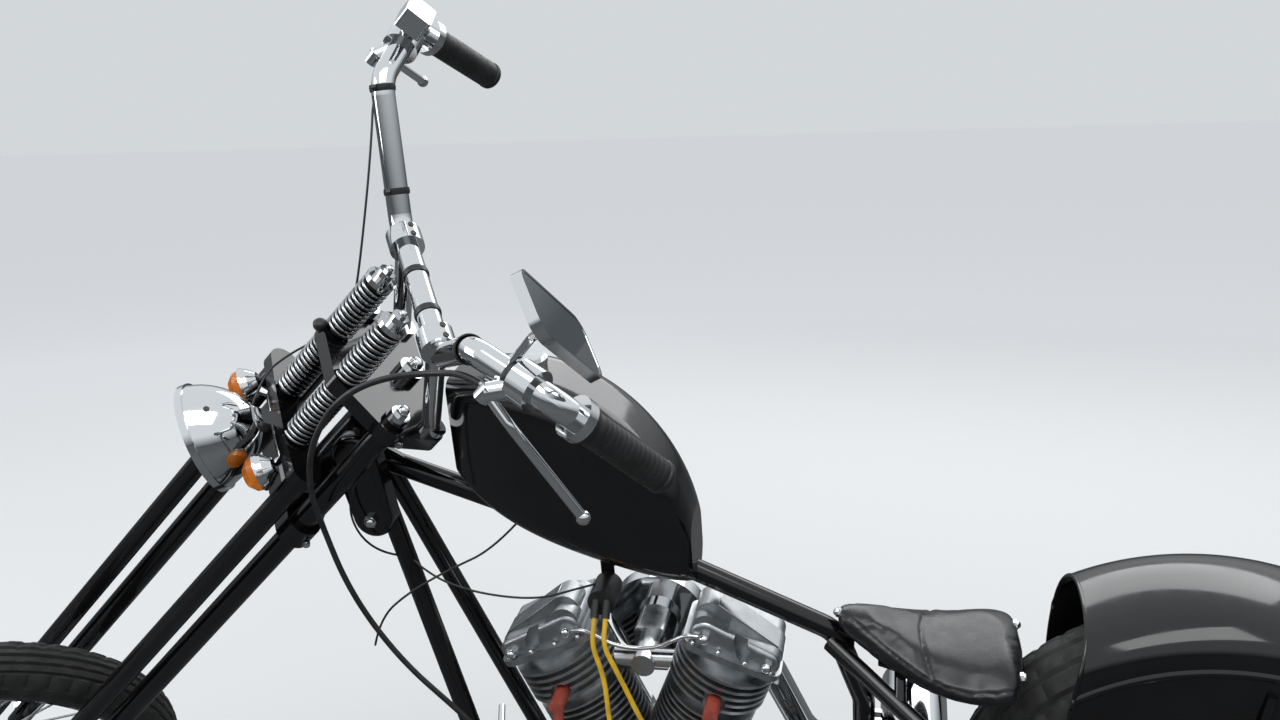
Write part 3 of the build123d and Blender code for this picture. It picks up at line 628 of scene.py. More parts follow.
# Nuts of a rocker box: steps towards the other cylinder and up from the head
ROCKER_NUTS, ROCKER_FACE_Y, ROCKER_NUT_R = ((46, 25), (-50, 19)), 49.5, 9.5
FLANGE_BOLTS, FLANGE_BOLT_Y, FLANGE_THICK, FLANGE_BOLT_R = (-58, -20, 20, 58), 54.5, 9.5, 4.4
# Bolts of the primary case: place along it and step up from the crank
CASE_BOLTS = ((CRANK_X, 72), (CRANK_X, -72), (CRANK_X + 72, 0), (CRANK_X - 105, 78), (CRANK_X - 105, -78),
              (GEAR_X, 84), (GEAR_X, -84), (GEAR_X - 84, 0))
CASE_FACE_Y, CASE_BOLT_R = 147, 5
COIL_COVER_NUT, COIL_COVER_NUT_R = (1136, 61.5, 802), 10
# Middle of the clutch cover and of the air cleaner on their outer faces, and their circles of bolts:
# radius of the circle, count, turn of the first and radius of a bolt
CLUTCH_COVER, CLUTCH_BOLTS = (GEAR_X, 153, CRANK_Z), (54, 5, 0.0, 4.5)
CLEANER, CLEANER_BOLTS = (CRANK_X, -142, 548), (50, 3, 0.5, 5)


def bolt_circle(bm, centre, bolts, axis, top):
    x, y, z = centre
    circle_r, count, first, r = bolts
    for i in range(count):
        turn = 2 * pi * i / count + first
        nut(bm, BIKE @ facing((x + circle_r * cos(turn), y, z + circle_r * sin(turn)), axis), r, top)


def make_engine_nuts():
    bm = bmesh.new()
    for side in (1, -1):
        at = cylinder_matrix(side)
        for inward, up in ROCKER_NUTS:
            nut(bm, at @ facing((-side * inward, ROCKER_FACE_Y, HEAD_TOP + up), (0, 1, 0)), ROCKER_NUT_R)
        for x in FLANGE_BOLTS:
            nut(bm, at @ Matrix.Translation((x, FLANGE_BOLT_Y, HEAD_TOP + FLANGE_THICK)), FLANGE_BOLT_R)
    nut(bm, BIKE @ facing(COIL_COVER_NUT, (0, 1, 0)), COIL_COVER_NUT_R)
    for x, up in CASE_BOLTS:
        nut(bm, BIKE @ facing((x, CASE_FACE_Y, CRANK_Z + up), (0, 1, 0)), CASE_BOLT_R, FLAT_HEAD)
    bolt_circle(bm, CLUTCH_COVER, CLUTCH_BOLTS, (0, 1, 0), FLAT_HEAD)
    bolt_circle(bm, CLEANER, CLEANER_BOLTS, (0, -1, 0), DOME)
    piece("engine_nuts", bm, "frame", "chrome")


# Ridge line of a rocker box, high end and low end: step towards the other cylinder, step up from the
# head, and how far out the strip lies
RIDGE_HIGH, RIDGE_LOW = (48, 46, 20.1), (-54, 20, 16.1)
RIDGE_LEAN, STRIP_Y, STRIP_THICK, STRIP_ROUND = 4, (-19, 23), 1.4, 0.6


# Bright buffed strips along the sloping ridges of the rocker boxes
def make_ridge_strips():
    bm = bmesh.new()
    for side in (1, -1):
        inner = -side
        at = cylinder_matrix(side)
        high, low = [Vector((inward * inner, HEAD_TOP + up)) for inward, up, _ in (RIDGE_HIGH, RIDGE_LOW)]
        run = high - low
        turn = atan2(run.y, run.x) + inner * (pi / 2 + RIDGE_LEAN / run.length)
        out = Vector((cos(turn), sin(turn)))
        a, b = high + out * RIDGE_HIGH[2], low + out * RIDGE_LOW[2]
        base = [Vector((p.x, y, p.y)) for p, y in zip((a, a, b, b), STRIP_Y + STRIP_Y[::-1])]
        lift = Vector((out.x, 0, out.y)) * STRIP_THICK
        skin(bm, [placed(at, base), placed(at, [p + lift for p in base])], closed=False, capped=True)
    strips = piece("rocker_ridge_strips", bm, "frame", "buffed")
    rounded = strips.modifiers.new("rounded", "BEVEL")
    rounded.width, rounded.segments = STRIP_ROUND * MM, 2
    applied(strips)


# Oil line slung between the two rocker boxes, its ends held by their inner nuts
OIL_LINE = ((870, 52.6, 624), (852, 54, 630), (832, 53, 622), (806, 50, 604), (770, 49, 598), (734, 50, 604),
            (708, 53, 622), (688, 54, 630), (670, 52.6, 624))
OIL_LINE_R = 3.0


def make_oil_line():
    tube("oil_line", placed(BIKE, OIL_LINE), OIL_LINE_R, "frame", "chrome")


# Nuts of the fork, where each stands and the radius of each. The pivot rows give place forward,
# radius of the leg and radius of the nut, which sinks half a millimetre into the leg.
PIVOT_NUTS, PIVOT_SINK = ((REAR_LEG_U, 17, 12), (FRONT_LEG_U, 15.5, 11)), 0.5
AXLE_NUT_V, AXLE_NUT_R = 94, 10
CROWN_BOLT_U, CROWN_BOLT_V, CROWN_BOLTS_W, CROWN_BOLT_R = REAR_LEG_U - 8, 129, (-102, 123), 6
LEG_CAP_W, LEG_CAP_R, SPRING_CAP_W, SPRING_CAP_R, STEM_TOP_W, STEM_NUT_R = 149.5, 10, 255.5, 7, 147.5, 13
CLAMP_BOLT_U, CLAMP_BOLTS_V, CLAMP_BOLT_W, CLAMP_BOLT_R = BAR_U - 26, (88, 106), BAR_W - 16, 6
CLAMP_BACK = (-0.85, 0, -0.5)
# Screws with dark heads on the lamp's rim and in the clamps of the bar
LAMP_SCREW, LAMP_SCREW_AXIS = (221.1, 11, -18.2), (0.449, 0.153, 0.880)
CLAMP_V, CLAMP_SCREW_U, CLAMP_SCREW_W, CLAMP_UP = 97, 82, 298.4, (0.21, 0, 0.98)
CLAMP_SCREWS_V = (-9, 9)
SCREW_R, SCREW_FOOT, LAMP_SCREW_HEAD, CLAMP_SCREW_HEAD = 4.2, -1, 1.8, 1.2


def make_fork_nuts():
    bm = bmesh.new()
    for side in (1, -1):
        out = (0, side, 0)
        for u, leg_r, r in PIVOT_NUTS:
            nut(bm, FORK @ facing((u, side * (LEG_V + leg_r - PIVOT_SINK), PIVOT_W), out), r)
        nut(bm, FORK @ facing((FRONT_AXLE_U, side * AXLE_NUT_V, FRONT_AXLE_W), out), AXLE_NUT_R)
        for w in CROWN_BOLTS_W:
            nut(bm, FORK @ facing((CROWN_BOLT_U, side * CROWN_BOLT_V, w), out), CROWN_BOLT_R, FLAT_HEAD)
        nut(bm, FORK @ Matrix.Translation((REAR_LEG_U, side * LEG_V, LEG_CAP_W)), LEG_CAP_R)
        nut(bm, FORK @ Matrix.Translation((SPRING_U, side * SPRING_V, SPRING_CAP_W)), SPRING_CAP_R)
        for v in CLAMP_BOLTS_V:
            at = FORK @ facing((CLAMP_BOLT_U, side * v, CLAMP_BOLT_W), CLAMP_BACK)
            nut(bm, at, CLAMP_BOLT_R, FLAT_HEAD)
    nut(bm, FORK @ Matrix.Translation((0, 0, STEM_TOP_W)), STEM_NUT_R)
    piece("fork_fasteners", bm, "fork", "chrome")
    bm = bmesh.new()
    peg(bm, FORK @ facing(LAMP_SCREW, LAMP_SCREW_AXIS), SCREW_R, SCREW_FOOT, LAMP_SCREW_HEAD, 16)
    for side in (1, -1):
        for v in CLAMP_SCREWS_V:
            at = FORK @ facing((CLAMP_SCREW_U, side * CLAMP_V + v, CLAMP_SCREW_W), CLAMP_UP)
            peg(bm, at, SCREW_R, SCREW_FOOT, CLAMP_SCREW_HEAD, 16)
    piece("dark_screws", bm, "fork", "sheath")


# Black rubber sleeves inside the four springs
SLEEVE_BORE, SLEEVE_R, SLEEVE_ENDS = 7.4, 14.6, ((9, 111), (135, 233))


def make_spring_sleeves():
    bm = bmesh.new()
    for side in (1, -1):
        at = FORK @ Matrix.Translation((SPRING_U, side * SPRING_V, 0))
        for low, high in SLEEVE_ENDS:
            wall = ((SLEEVE_BORE, low), (SLEEVE_R, low), (SLEEVE_R, high), (SLEEVE_BORE, high))
            turned(bm, at, wall, 24, closed=True, capped=False)
    piece("spring_sleeves", bm, "fork", "rubber")


# Small black knob on its post at the front of the top crown, and the grommet of the switch wire
KNOB = ((3.5, -6), (3.5, 8), (8, 9), (9.5, 12), (9.5, 18), (7, 21), (2, 22))
KNOB_AT, KNOB_AXIS = (124, -43, 122), (0.55, -0.1, 0.83)
GROMMET = ((1.8, -1), (4.6, -1), (4.6, 1.4), (3.2, 2.2), (1.8, 2.2))
GROMMET_AT = (84, -72, 134)


def make_knob():
    bm = bmesh.new()
    turned(bm, FORK @ facing(KNOB_AT, KNOB_AXIS), KNOB, 20)
    turned(bm, FORK @ Matrix.Translation(GROMMET_AT), GROMMET, 20, closed=True, capped=False)
    piece("crown_knob", bm, "fork", "rubber")


# Rubber sleeves over both grips, with a collar at each end and shallow ribs between
GRIP_END, GRIP_NEAR, GRIP_PAST = Vector((-55, 396, 422)), Vector((118, 360, 446)), 3
GRIP_CAP = ((0, 15.0), (1.5, 18.6), (4, 20.2), (9, 20.6), (11, 19.2))
GRIP_RIB = ((0, 19.7), (1.2, 20.0), (6.0, 20.0), (7.2, 19.7))
GRIP_COLLAR = ((129, 19.2), (131, 21.5), (137, 21.8), (139, 20.0))
FIRST_RIB, RIB_PITCH, RIBS = 14, 8.0, 14


def make_grips():
    stations = list(GRIP_CAP)
    for i in range(RIBS):
        stations += [(FIRST_RIB + i * RIB_PITCH + z, r) for z, r in GRIP_RIB]
    profile = [(r, z) for z, r in stations + list(GRIP_COLLAR)]
    along = (GRIP_NEAR - GRIP_END).normalized()
    bm = bmesh.new()
    for side in (1, -1):
        flip = Matrix.Diagonal((1, side, 1, 1))
        turned(bm, FORK @ flip @ facing(GRIP_END - along * GRIP_PAST, along), profile, 36)
    piece("grip_sleeves", bm, "fork", "rubber", 25, ["grips"])


# Black ties round the handlebar, each with its lock: place and direction of the bar there
TIES = (((77, -28, 275), (0, 1, 0)), ((77, 45, 275), (0, 1, 0)), ((160, 248, 393), (0.45, 0.69, 0.64)),
        ((141, 309, 423), (-0.38, 0.85, 0.37)), ((160, -248, 393), (0.45, -0.69, 0.64)),
        ((100, -155, 308), (0.43, -0.66, 0.61)))
TIE_BAND = ((16.2, -4), (17.4, -4.5), (18, 0), (17.4, 4.5), (16.2, 4))
TIE_R, LOCK_R, LOCK_HALF = 18, 3, 3.5


def make_ties():
    bm = bmesh.new()
    for spot, axis in TIES:
        at = FORK @ facing(spot, axis)
        turned(bm, at, TIE_BAND, 32, closed=True, capped=False)
        peg(bm, at @ Matrix.Translation((TIE_R, 0, 0)) @ ACROSS, LOCK_R, -LOCK_HALF, LOCK_HALF, 8)
    piece("bar_ties", bm, "fork", "sheath")


# Lamp inside: polished bowl and a bulb behind the glass, from the middle of its rim
LAMP_RIM, LAMP_DIP = (186, 0, -78), 56
BOWL = ((73.4, -3.2), (66, -12), (56, -24), (44, -36), (30, -46), (14, -53), (4, -55))
BULB = ((7, -54), (7, -40), (10, -32), (11, -24), (9, -17), (4, -13), (0.6, -12))


def make_lamp_inside():
    dip = radians(LAMP_DIP)
    at = FORK @ facing(LAMP_RIM, (cos(dip), 0, -sin(dip)))
    bm = bmesh.new()
    turned(bm, at, BOWL, 48, capped=False)
    piece("lamp_reflector", bm, "fork", "chrome")
    bm = bmesh.new()
    turned(bm, at, BULB, 20)
    piece("lamp_bulb", bm, "fork", "glass")


# Rear fender: radius of its crown, half width, and radii of its foot, shoulder and side bead, all from
# the axle; its struts and their plates are given as steps forward and up from there
FENDER_R, FENDER_HALF, FENDER_LOW, SHOULDER_R, BEAD_R = 388.0, 116.0, 250.0, 334, 325.0
BEAD_HALF, BEAD_RISE, SHEET, EDGE_R = 6, 4.0, 3.0, 3.0
CROWN_POINTS, FENDER_STEPS, CROWN_POWER = 24, 96, 0.8
STRUT_TOPS, STRUT_TOP_Y, STRUT_R = ((-50, 297), (-190, 235)), 118, 6
FOOT_PLATE, PLATE_Y = ((-14, 10), (14, 10), (14, 38), (-14, 38)), (129, 139)
STRUT_FOOT_Y, STRUT_FOOT_Z, FENDER_NUT_Y, FENDER_NUT_R = 133, 36, 112, 6


# Section as (y, r) points: round crown, rolled shoulder, side with one raised bead
def fender_section(inset):
    half, rise = FENDER_HALF - inset, FENDER_R - SHOULDER_R - inset
    points = []
    for i in range(CROWN_POINTS + 1):
        turn = pi / 2 * i / CROWN_POINTS
        points.append((half * sin(turn) ** CROWN_POWER, SHOULDER_R + rise * cos(turn) ** CROWN_POWER))
    for r in (331, 329, 327, 325, 323, 321, 319):
        swell = 0.0 if inset else BEAD_RISE * cos((r - BEAD_R) / BEAD_HALF * pi / 2)
        points.append((half + swell, r))
    points += [(half, r) for r in (312, 296, 280, 264, FENDER_LOW)]
    return [(-y, r) for y, r in reversed(points[1:])] + points


# Angles from the crown at which the fender is cut, in front and behind, for a given radius
def fender_ends(r):
    share = max(0.0, r - FENDER_LOW) / (FENDER_R - FENDER_LOW)
    return radians(49.9 - 25.4 * share ** 0.8), -radians(103.9 - 5.0 * share)


def fender_point(y, r, share):
    first, last = fender_ends(r)
    turn = first + (last - first) * share
    return BIKE @ Vector((r * sin(turn), y, REAR_R + r * cos(turn)))


# Spot given forward, left and up from the rear axle
def from_axle(x, y, z):
    return BIKE @ Vector((x, y, REAR_R + z))


def make_fender():
    bm = bmesh.new()
    outer, inner = fender_section(0.0), fender_section(SHEET)
    loop = outer + inner[::-1]
    size = len(loop)
    shares = [i / FENDER_STEPS for i in range(FENDER_STEPS + 1)]
    rows = skin(bm, [[fender_point(y, r, share) for y, r in loop] for share in shares], closed=False)
    for row in (rows[0], rows[-1]):
        for j in range(len(outer) - 1):
            bm.faces.new((row[j], row[j + 1], row[size - 2 - j], row[size - 1 - j]))
    for side in (1, -1):
        foot = from_axle(0, side * STRUT_FOOT_Y, STRUT_FOOT_Z)
        for x, z in STRUT_TOPS:
            strut = from_axle(x, side * STRUT_TOP_Y, z) - foot
            peg(bm, facing(foot, strut), STRUT_R * MM, 0, strut.length, 20)
        plate = [[from_axle(x, side * y, z) for x, z in FOOT_PLATE] for y in PLATE_Y]
        skin(bm, plate, closed=False, capped=True)
    piece("rear_fender_shell", bm, "frame", "enamel", 35, ["rear_fender"])
    rim = [fender_point(y, r - SHEET / 2, 0.0) for y, r in outer]
    tube("fender_rolled_edge", rim, EDGE_R, "frame", "enamel")
    bm = bmesh.new()
    for side in (1, -1):
        for x, z in STRUT_TOPS:
            nut(bm, BIKE @ facing((x, side * FENDER_NUT_Y, REAR_R + z), (0, -side, 0)), FENDER_NUT_R)
    piece("fender_nuts", bm, "frame", "chrome")


# Clutch cable from its lever to the primary case: one fixed tube, first through the points on the fork
# and then through those on the bike
CLUTCH_ON_FORK = ((146, 292, 386), (140, 250, 360), (131, 200, 311), (165, 168, 250), (185, 160, 190),
                  (168, 158, 110), (120, 150, 30))
CLUTCH_ON_BIKE = ((1169, 145, 848), (1142, 150, 738), (1085, 150, 631), (1008, 150, 548), (950, 142, 470),
                  (900.7, 119, 405.8), (846, 119, 342))


def make_clutch_cable(r):
    on_fork, on_bike = placed(FORK, CLUTCH_ON_FORK), placed(BIKE, CLUTCH_ON_BIKE)
    cable = tube("clutch_cable_sheath", on_fork + on_bike, r, None, "sheath")
    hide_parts("clutch_cable")
    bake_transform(cable)


# Loose wires of the lamps, tied along the neck and led back under the tank
WIRES = {
    "wire_low": ((1128, 132, 640), (1110, 138, 690), (1070, 120, 722), (1020, 80, 738), (968, 50, 752),
                 (930, 40, 790)),
    "wire_high": ((1102, 40, 735), (1060, 62, 712), (990, 66, 690), (905, 60, 680), (850, 46, 692),
                  (824, 34, 694)),
    "wire_neck": ((1150, 60, 862), (1162, 76, 836), (1150, 82, 786), (1122, 62, 745), (1100, 34, 728)),
}
# Wire of the right-hand switch: hangs from the bar, drops through the top crown and ends at the lamp
SWITCH_WIRE = ((138, -322, 408), (160, -262, 376), (150, -212, 340), (134, -160, 289), (104, -84, 196),
               (88, -74, 152), (84, -72, 123), (98, -76, 84), (122, -74, 40), (142, -58, 6), (151, -13, -20))


def make_wires(r):
    tube("switch_wire", placed(FORK, SWITCH_WIRE), r, "fork", "sheath")
    for name, points in WIRES.items():
        tube(name, placed(BIKE, points), r, "frame", "sheath")


# Seat stations from nose to back: place, foot, top and half width
SEAT_ROWS = ((488, 632, 653, 15), (474, 622, 654, 27), (450, 608, 648, 44), (425, 596, 637, 60),
             (398, 586, 626, 77), (372, 578, 615, 92), (340, 570, 608, 105), (308, 566, 607, 113),
             (275, 566, 610, 113), (252, 568, 611, 106), (236, 573, 605, 90))
# Share of its size from which the saddle swells, points round it, and the grid of its skin
SEAT_START, SEAT_SIDES, SEAT_GRID = 0.95, 44, 5
# How square the section is at its sides, on top and underneath: lower is squarer
SIDE_POWER, TOP_POWER, UNDER_POWER = 0.7, 0.85, 0.4


def seat_ring(x, low, high, half):
    mid, tall = (low + high) / 2, (high - low) / 2
    ring = []
    for i in range(SEAT_SIDES):
        turn = 2 * pi * i / SEAT_SIDES
        c, s = cos(turn), sin(turn)
        y = half * SEAT_START * abs(c) ** SIDE_POWER * (1 if c > 0 else -1)
        z = mid + tall * SEAT_START * abs(s) ** (TOP_POWER if s > 0 else UNDER_POWER) * (1 if s > 0 else -1)
        ring.append((x, y, z))
    return placed(BIKE, ring)


def smoothed(obj, levels):
    modifier = obj.modifiers.new("smooth", "SUBSURF")
    modifier.levels = modifier.render_levels = levels
    applied(obj)


# Cloth under light pressure for a few frames, each point's move capped
def puff(obj, pressure, frames, cap):
    before = [v.co.copy() for v in obj.data.vertices]
    cloth = obj.modifiers.new("cloth", "CLOTH")
    cloth.settings.quality = 5
    cloth.settings.mass = 0.3
    cloth.settings.tension_stiffness = 15
    cloth.settings.compression_stiffness = 15
    cloth.settings.bending_stiffness = 2
    cloth.settings.use_pressure = True
    cloth.settings.uniform_pressure_force = pressure
    cloth.settings.effector_weights.gravity = 0
    for step in range(1, frames + 1):
        bpy.context.scene.frame_set(step)
    shaped = obj.evaluated_get(bpy.context.evaluated_depsgraph_get())
    after = [v.co.copy() for v in shaped.data.vertices]
    obj.modifiers.remove(cloth)
    bpy.context.scene.frame_set(1)
    for vertex, a, b in zip(obj.data.vertices, before, after):
        move = b - a
        vertex.co = a + move * min(1.0, cap / max(move.length, 1e-9))


# Sewn lines in millimetres: a cross seam behind the nose, curved forward in the middle, and a welt
# inside the top panel's edge. BELOW says how far under the top each still presses in.
SEAM_X, SEAM_CURVE, SEAM_DEPTH, SEAM_HALF, SEAM_BELOW = 372, 0.0020, 2.6, 6, 22
WELT_IN, WELT_DEPTH, WELT_HALF, WELT_BELOW = 13, 2.2, 5, 26


def sew(obj):
    back = BIKE.inverted()
    rows = sorted(SEAT_ROWS)
    for vertex in obj.data.vertices:
        p = back @ vertex.co
        low = max((r for r in rows if r[0] <= p.x), default=rows[0], key=lambda r: r[0])
        high = min((r for r in rows if r[0] >= p.x), default=rows[-1], key=lambda r: r[0])
        share = (p.x - low[0]) / max(high[0] - low[0], 1)
        half = low[3] + (high[3] - low[3]) * share
        top = low[2] + (high[2] - low[2]) * share
        depth = 0
        if p.z > top - SEAM_BELOW:
            away = abs(p.x - (SEAM_X - SEAM_CURVE * p.y * p.y))
            depth = SEAM_DEPTH * max(0, 1 - away / SEAM_HALF) ** 2
        if p.z > top - WELT_BELOW:
            away = abs(abs(p.y) - (half - WELT_IN))
            depth = max(depth, WELT_DEPTH * max(0, 1 - away / WELT_HALF) ** 2)
        vertex.co -= vertex.normal * depth * MM


def make_seat(swell):
    bm = bmesh.new()
    skin(bm, [seat_ring(*row) for row in SEAT_ROWS], closed=False, capped=True)
    seat = piece("seat_leather", bm, "frame", "leather", 180, ["seat"])
    smoothed(seat, 1)
    remesh = seat.modifiers.new("remesh", "REMESH")
    remesh.mode, remesh.voxel_size = "VOXEL", SEAT_GRID * MM
    applied(seat)
    puff(seat, pressure=4.0, frames=20, cap=swell)
    smoothed(seat, 1)
    sew(seat)
    seat.data.shade_smooth()


# Chrome nuts at the nose and the back edge of the seat
NOSE_NUT, NOSE_NUT_AXIS = (483, 0, 642), (0.9, 0.15, 0.4)
BACK_NUT_X, BACK_NUT_Y, BACK_NUT_Z, BACK_NUT_AXIS = 243, 62, 594, (-1, 0, 0.15)
SEAT_NUT_R = 7


def make_seat_nuts():
    bm = bmesh.new()
    nut(bm, BIKE @ facing(NOSE_NUT, NOSE_NUT_AXIS), SEAT_NUT_R)
    for side in (1, -1):
        nut(bm, BIKE @ facing((BACK_NUT_X, side * BACK_NUT_Y, BACK_NUT_Z), BACK_NUT_AXIS), SEAT_NUT_R)
    piece("seat_fasteners", bm, "frame", "chrome")


# Camera as the photograph was taken, given in the upright bike frame
CAMERA_AT = (388.7, 1510.6, 1636.2)
CAMERA_YAW, CAMERA_PITCH, CAMERA_ROLL = 0.229, 0.376, 0.082
FOCAL_PX, PHOTO_WIDTH, SENSOR = 1249.1, 1280.0, 36.0


def make_camera():
    ahead = Vector((sin(CAMERA_YAW), -cos(CAMERA_YAW), 0))
    right = Vector((-cos(CAMERA_YAW), -sin(CAMERA_YAW), 0))
    look = ahead * cos(CAMERA_PITCH) - Vector((0, 0, sin(CAMERA_PITCH)))
    down = -Vector((0, 0, cos(CAMERA_PITCH))) - ahead * sin(CAMERA_PITCH)
    side = right * cos(CAMERA_ROLL) + down * sin(CAMERA_ROLL)
    below = -right * sin(CAMERA_ROLL) + down * cos(CAMERA_ROLL)
    turn = BIKE.to_3x3()
    axes = [(turn @ v).normalized() for v in (side, -below, -look)]
    camera = bpy.data.objects.new("camera", bpy.data.cameras.new("camera"))
    camera.data.sensor_width = SENSOR
    camera.data.lens = FOCAL_PX / PHOTO_WIDTH * SENSOR
    camera.data.clip_start = 0.02
    spot = BIKE @ Vector(CAMERA_AT)
    camera.matrix_world = Matrix.Translation(spot) @ Matrix(axes).transposed().to_4x4()
    bpy.context.collection.objects.link(camera)
    bpy.context.scene.camera = camera


# Soft boxes in metres: name, place, target, width, height and watts
LAMPS = (("key", (-0.6, 1.6, 4.2), (0.0, 0, 0.6), 3.4, 2.0, 75),
         ("front", (3.6, 1.2, 2.4), (0.4, 0, 0.7), 1.8, 2.4, 50),
         ("back", (-0.8, -3.4, 3.2), (0, 0, 0.8), 4.2, 1.4, 50))
FLOOR_HALF = 40


def soft_box(name, spot, target, width, height, watts):
    light = bpy.data.lights.new(name, "AREA")
    light.shape = "RECTANGLE"
    light.size, light.size_y, light.energy = width, height, watts
    lamp = bpy.data.objects.new(name, light)
    lamp.location = spot
    lamp.rotation_euler = (Vector(target) - Vector(spot)).to_track_quat("-Z", "Y").to_euler()
    bpy.context.collection.objects.link(lamp)


# World: plain pale backdrop to the camera, even fill light, and a darker sky in reflections
def make_world():
    world = bpy.data.worlds.new("studio")
    world.use_nodes = True
    tree = world.node_tree
    tree.nodes.clear()
    path = node(tree, "ShaderNodeLightPath")
    sky = node(tree, "ShaderNodeTexCoord").outputs["Generated"]
    split = node(tree, "ShaderNodeSeparateXYZ", {"Vector": sky})
    fade = tint(tree, split.outputs["Z"], "#505458", "#EEF2F6", 0.0, 0.35)
    fill = node(tree, "ShaderNodeBackground", {"Color": linear("#EEF0F2"), "Strength": 0.8})
    mirrored = node(tree, "ShaderNodeBackground", {"Color": fade, "Strength": 1.0})
    shown = node(tree, "ShaderNodeBackground", {"Color": linear("#D3D7DA"), "Strength": 1.0})
    lit = node(tree, "ShaderNodeMixShader", {0: path.outputs["Is Glossy Ray"], 1: fill.outputs[0],
                                             2: mirrored.outputs[0]})
    mixed = node(tree, "ShaderNodeMixShader", {0: path.outputs["Is Camera Ray"], 1: lit.outputs[0],
                                               2: shown.outputs[0]})
    node(tree, "ShaderNodeOutputWorld", {"Surface": mixed.outputs[0]})
    bpy.context.scene.world = world


def make_stage(light):
    mesh = bpy.data.meshes.new("floor")
    corners = [(FLOOR_HALF * x, FLOOR_HALF * y, 0) for x, y in ((-1, -1), (1, -1), (1, 1), (-1, 1))]
    mesh.from_pydata(corners, [], [(0, 1, 2, 3)])
    floor = bpy.data.objects.new("floor", mesh)
    bpy.context.collection.objects.link(floor)
    mesh.materials.append(MATERIALS["floor"])
    make_world()
    for name, spot, target, width, height, watts in LAMPS:
        soft_box(name, spot, target, width, height, watts * light)
    make_camera()
    bpy.context.scene.view_settings.view_transform = "Standard"


# Every step is an operator, so the sidebar can run it alone
class CHOPPER_OT_finishes(bpy.types.Operator):
    """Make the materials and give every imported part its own"""
    bl_idname = "chopper.finishes"
    bl_label = "Finishes"
    bl_options = {"REGISTER", "UNDO"}

    def execute(self, context):
        make_materials(context.scene.chopper)
        dress_nodes()
        return {"FINISHED"}


class CHOPPER_OT_tyres(bpy.types.Operator):
    """Build both tyres with their tread"""
    bl_idname = "chopper.tyres"
    bl_label = "Tyres"
    bl_options = {"REGISTER", "UNDO"}

    def execute(self, context):
        make_tyres(context.scene.chopper.tread_depth)
        return {"FINISHED"}


class CHOPPER_OT_chain(bpy.types.Operator):
    """Build the links of the drive chain"""
    bl_idname = "chopper.chain"
    bl_label = "Drive chain"
    bl_options = {"REGISTER", "UNDO"}

    def execute(self, context):
        make_chain()
        return {"FINISHED"}


class CHOPPER_OT_engine(bpy.types.Operator):
    """Set the nuts, bright edges and oil line of the engine"""
    bl_idname = "chopper.engine"
    bl_label = "Engine details"
    bl_options = {"REGISTER", "UNDO"}

    def execute(self, context):
        make_engine_nuts()
        make_ridge_strips()
        make_oil_line()
        return {"FINISHED"}


class CHOPPER_OT_fork(bpy.types.Operator):
    """Set the nuts, spring sleeves and knob of the fork"""
    bl_idname = "chopper.fork"
    bl_label = "Fork details"
    bl_options = {"REGISTER", "UNDO"}

    def execute(self, context):
        make_fork_nuts()
        make_spring_sleeves()
        make_knob()
        return {"FINISHED"}


class CHOPPER_OT_bar(bpy.types.Operator):
    """Build the grips and the ties of the handlebar"""
    bl_idname = "chopper.bar"
    bl_label = "Handlebar details"
    bl_options = {"REGISTER", "UNDO"}

    def execute(self, context):
        make_grips()
        make_ties()
        return {"FINISHED"}


class CHOPPER_OT_lamp(bpy.types.Operator):
    """Build the bowl and bulb behind the lamp glass"""
    bl_idname = "chopper.lamp"
    bl_label = "Lamp inside"
    bl_options = {"REGISTER", "UNDO"}

    def execute(self, context):
        make_lamp_inside()
        return {"FINISHED"}


class CHOPPER_OT_fender(bpy.types.Operator):
    """Build the rolled rear fender and its struts"""
    bl_idname = "chopper.fender"
    bl_label = "Rear fender"
    bl_options = {"REGISTER", "UNDO"}

    def execute(self, context):
        make_fender()
        return {"FINISHED"}


class CHOPPER_OT_cables(bpy.types.Operator):
    """Lead the clutch cable, the switch wire and the lamp wires"""
    bl_idname = "chopper.cables"
    bl_label = "Cables"
    bl_options = {"REGISTER", "UNDO"}

    def execute(self, context):
        settings = context.scene.chopper
        make_clutch_cable(settings.cable_radius / MM)
        make_wires(settings.wire_radius / MM)
        return {"FINISHED"}


class CHOPPER_OT_seat(bpy.types.Operator):
    """Build the padded leather seat and its nuts"""
    bl_idname = "chopper.seat"
    bl_label = "Seat"
    bl_options = {"REGISTER", "UNDO"}

    def execute(self, context):
        make_seat(context.scene.chopper.seat_swell)
        make_seat_nuts()
        return {"FINISHED"}


class CHOPPER_OT_stage(bpy.types.Operator):
    """Add the floor, the lights and the camera"""
    bl_idname = "chopper.stage"
    bl_label = "Stage"
    bl_options = {"REGISTER", "UNDO"}

    def execute(self, context):
        make_stage(context.scene.chopper.light)
        return {"FINISHED"}


def colour_setting(name, about, code):
    return bpy.props.FloatVectorProperty(name=name, description=about, subtype="COLOR", size=4,
                                         min=0.0, max=1.0, default=linear(code))


def length_setting(name, about, metres, top):
    return bpy.props.FloatProperty(name=name, description=about, default=metres, min=0.0, max=top,
                                   subtype="DISTANCE", unit="LENGTH")


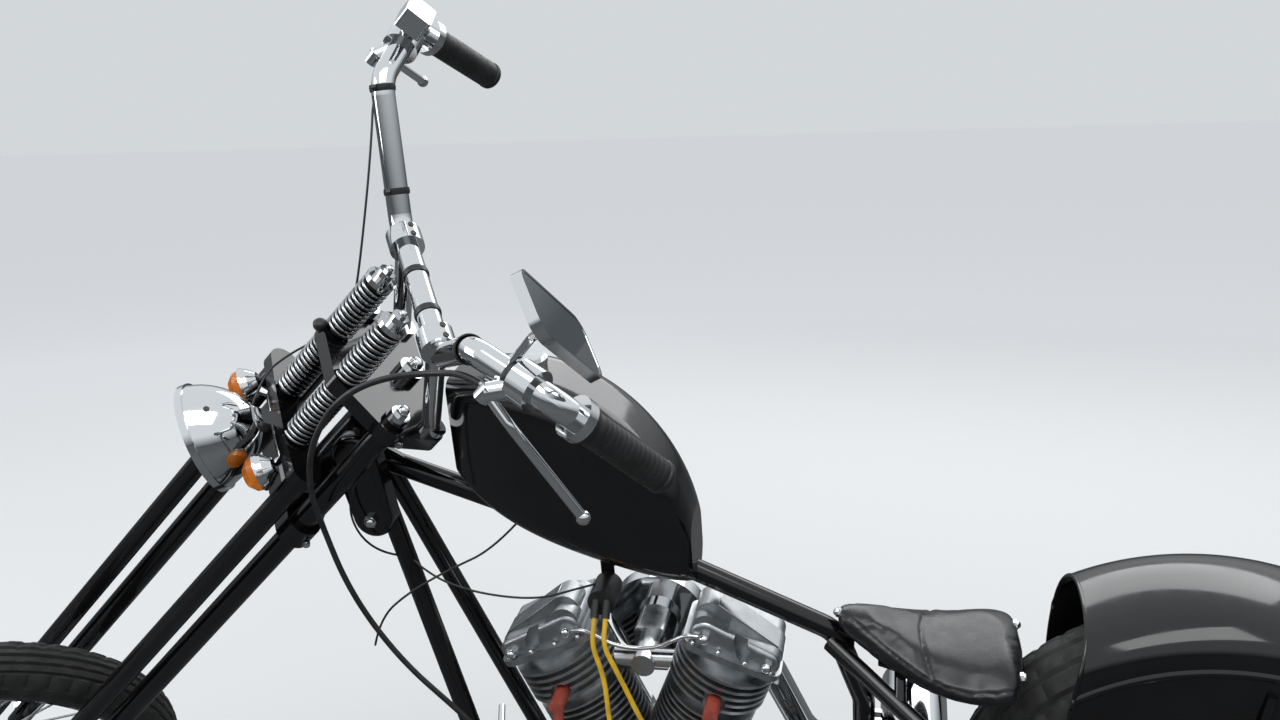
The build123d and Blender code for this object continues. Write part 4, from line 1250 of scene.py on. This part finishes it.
class ChopperSettings(bpy.types.PropertyGroup):
    enamel: colour_setting("Enamel", "Colour of the frame, tank, fork and fender", "#0C0C0D")
    # The seat's default colour is black with a blue tint, a painted reflection of the sky
    leather: colour_setting("Leather", "Colour of the seat", "#16171B")
    signal: colour_setting("Signal lenses", "Colour of the two signal lenses", "#F58A1C")
    tail: colour_setting("Tail lens", "Colour of the tail lens", "#C8141A")
    leads: colour_setting("Plug leads", "Colour of the two plug leads", "#D9AE1C")
    boots: colour_setting("Plug boots", "Colour of the two plug boots", "#9C4436")
    floor: colour_setting("Floor", "Colour of the studio floor", "#CFD1D2")
    tread_depth: length_setting("Tread depth", "Depth of the grooves in both tyres", 0.0045, 0.008)
    cable_radius: length_setting("Clutch cable radius", "Radius of the clutch cable's sheath", 0.004, 0.006)
    wire_radius: length_setting("Wire radius", "Radius of the loose wires", 0.0016, 0.004)
    seat_swell: length_setting("Seat swell", "How far the leather may swell over its padding", 0.005, 0.01)
    light: bpy.props.FloatProperty(name="Light", description="Strength of the studio lamps", default=1.0,
                                   min=0.1, max=5.0, subtype="FACTOR")


STEPS = (CHOPPER_OT_finishes, CHOPPER_OT_tyres, CHOPPER_OT_chain, CHOPPER_OT_engine, CHOPPER_OT_fork,
         CHOPPER_OT_bar, CHOPPER_OT_lamp, CHOPPER_OT_fender, CHOPPER_OT_cables, CHOPPER_OT_seat,
         CHOPPER_OT_stage)


class CHOPPER_PT_panel(bpy.types.Panel):
    """Settings and steps that dress the motorcycle"""
    bl_idname = "CHOPPER_PT_panel"
    bl_label = "Chopper"
    bl_space_type = "VIEW_3D"
    bl_region_type = "UI"
    bl_category = "Chopper"

    def draw(self, context):
        for key in ChopperSettings.__annotations__:
            self.layout.prop(context.scene.chopper, key)
        for step in STEPS:
            self.layout.operator(step.bl_idname)


CLASSES = (ChopperSettings, *STEPS, CHOPPER_PT_panel)


def register():
    for entry in CLASSES:
        bpy.utils.register_class(entry)
    bpy.types.Scene.chopper = bpy.props.PointerProperty(type=ChopperSettings)


def unregister():
    del bpy.types.Scene.chopper
    for entry in reversed(CLASSES):
        bpy.utils.unregister_class(entry)


def main():
    register()
    bpy.ops.chopper.finishes()
    bpy.ops.chopper.tyres()
    bpy.ops.chopper.chain()
    bpy.ops.chopper.engine()
    bpy.ops.chopper.fork()
    bpy.ops.chopper.bar()
    bpy.ops.chopper.lamp()
    bpy.ops.chopper.fender()
    bpy.ops.chopper.cables()
    bpy.ops.chopper.seat()
    bpy.ops.chopper.stage()


if __name__ == "__main__":
    main()
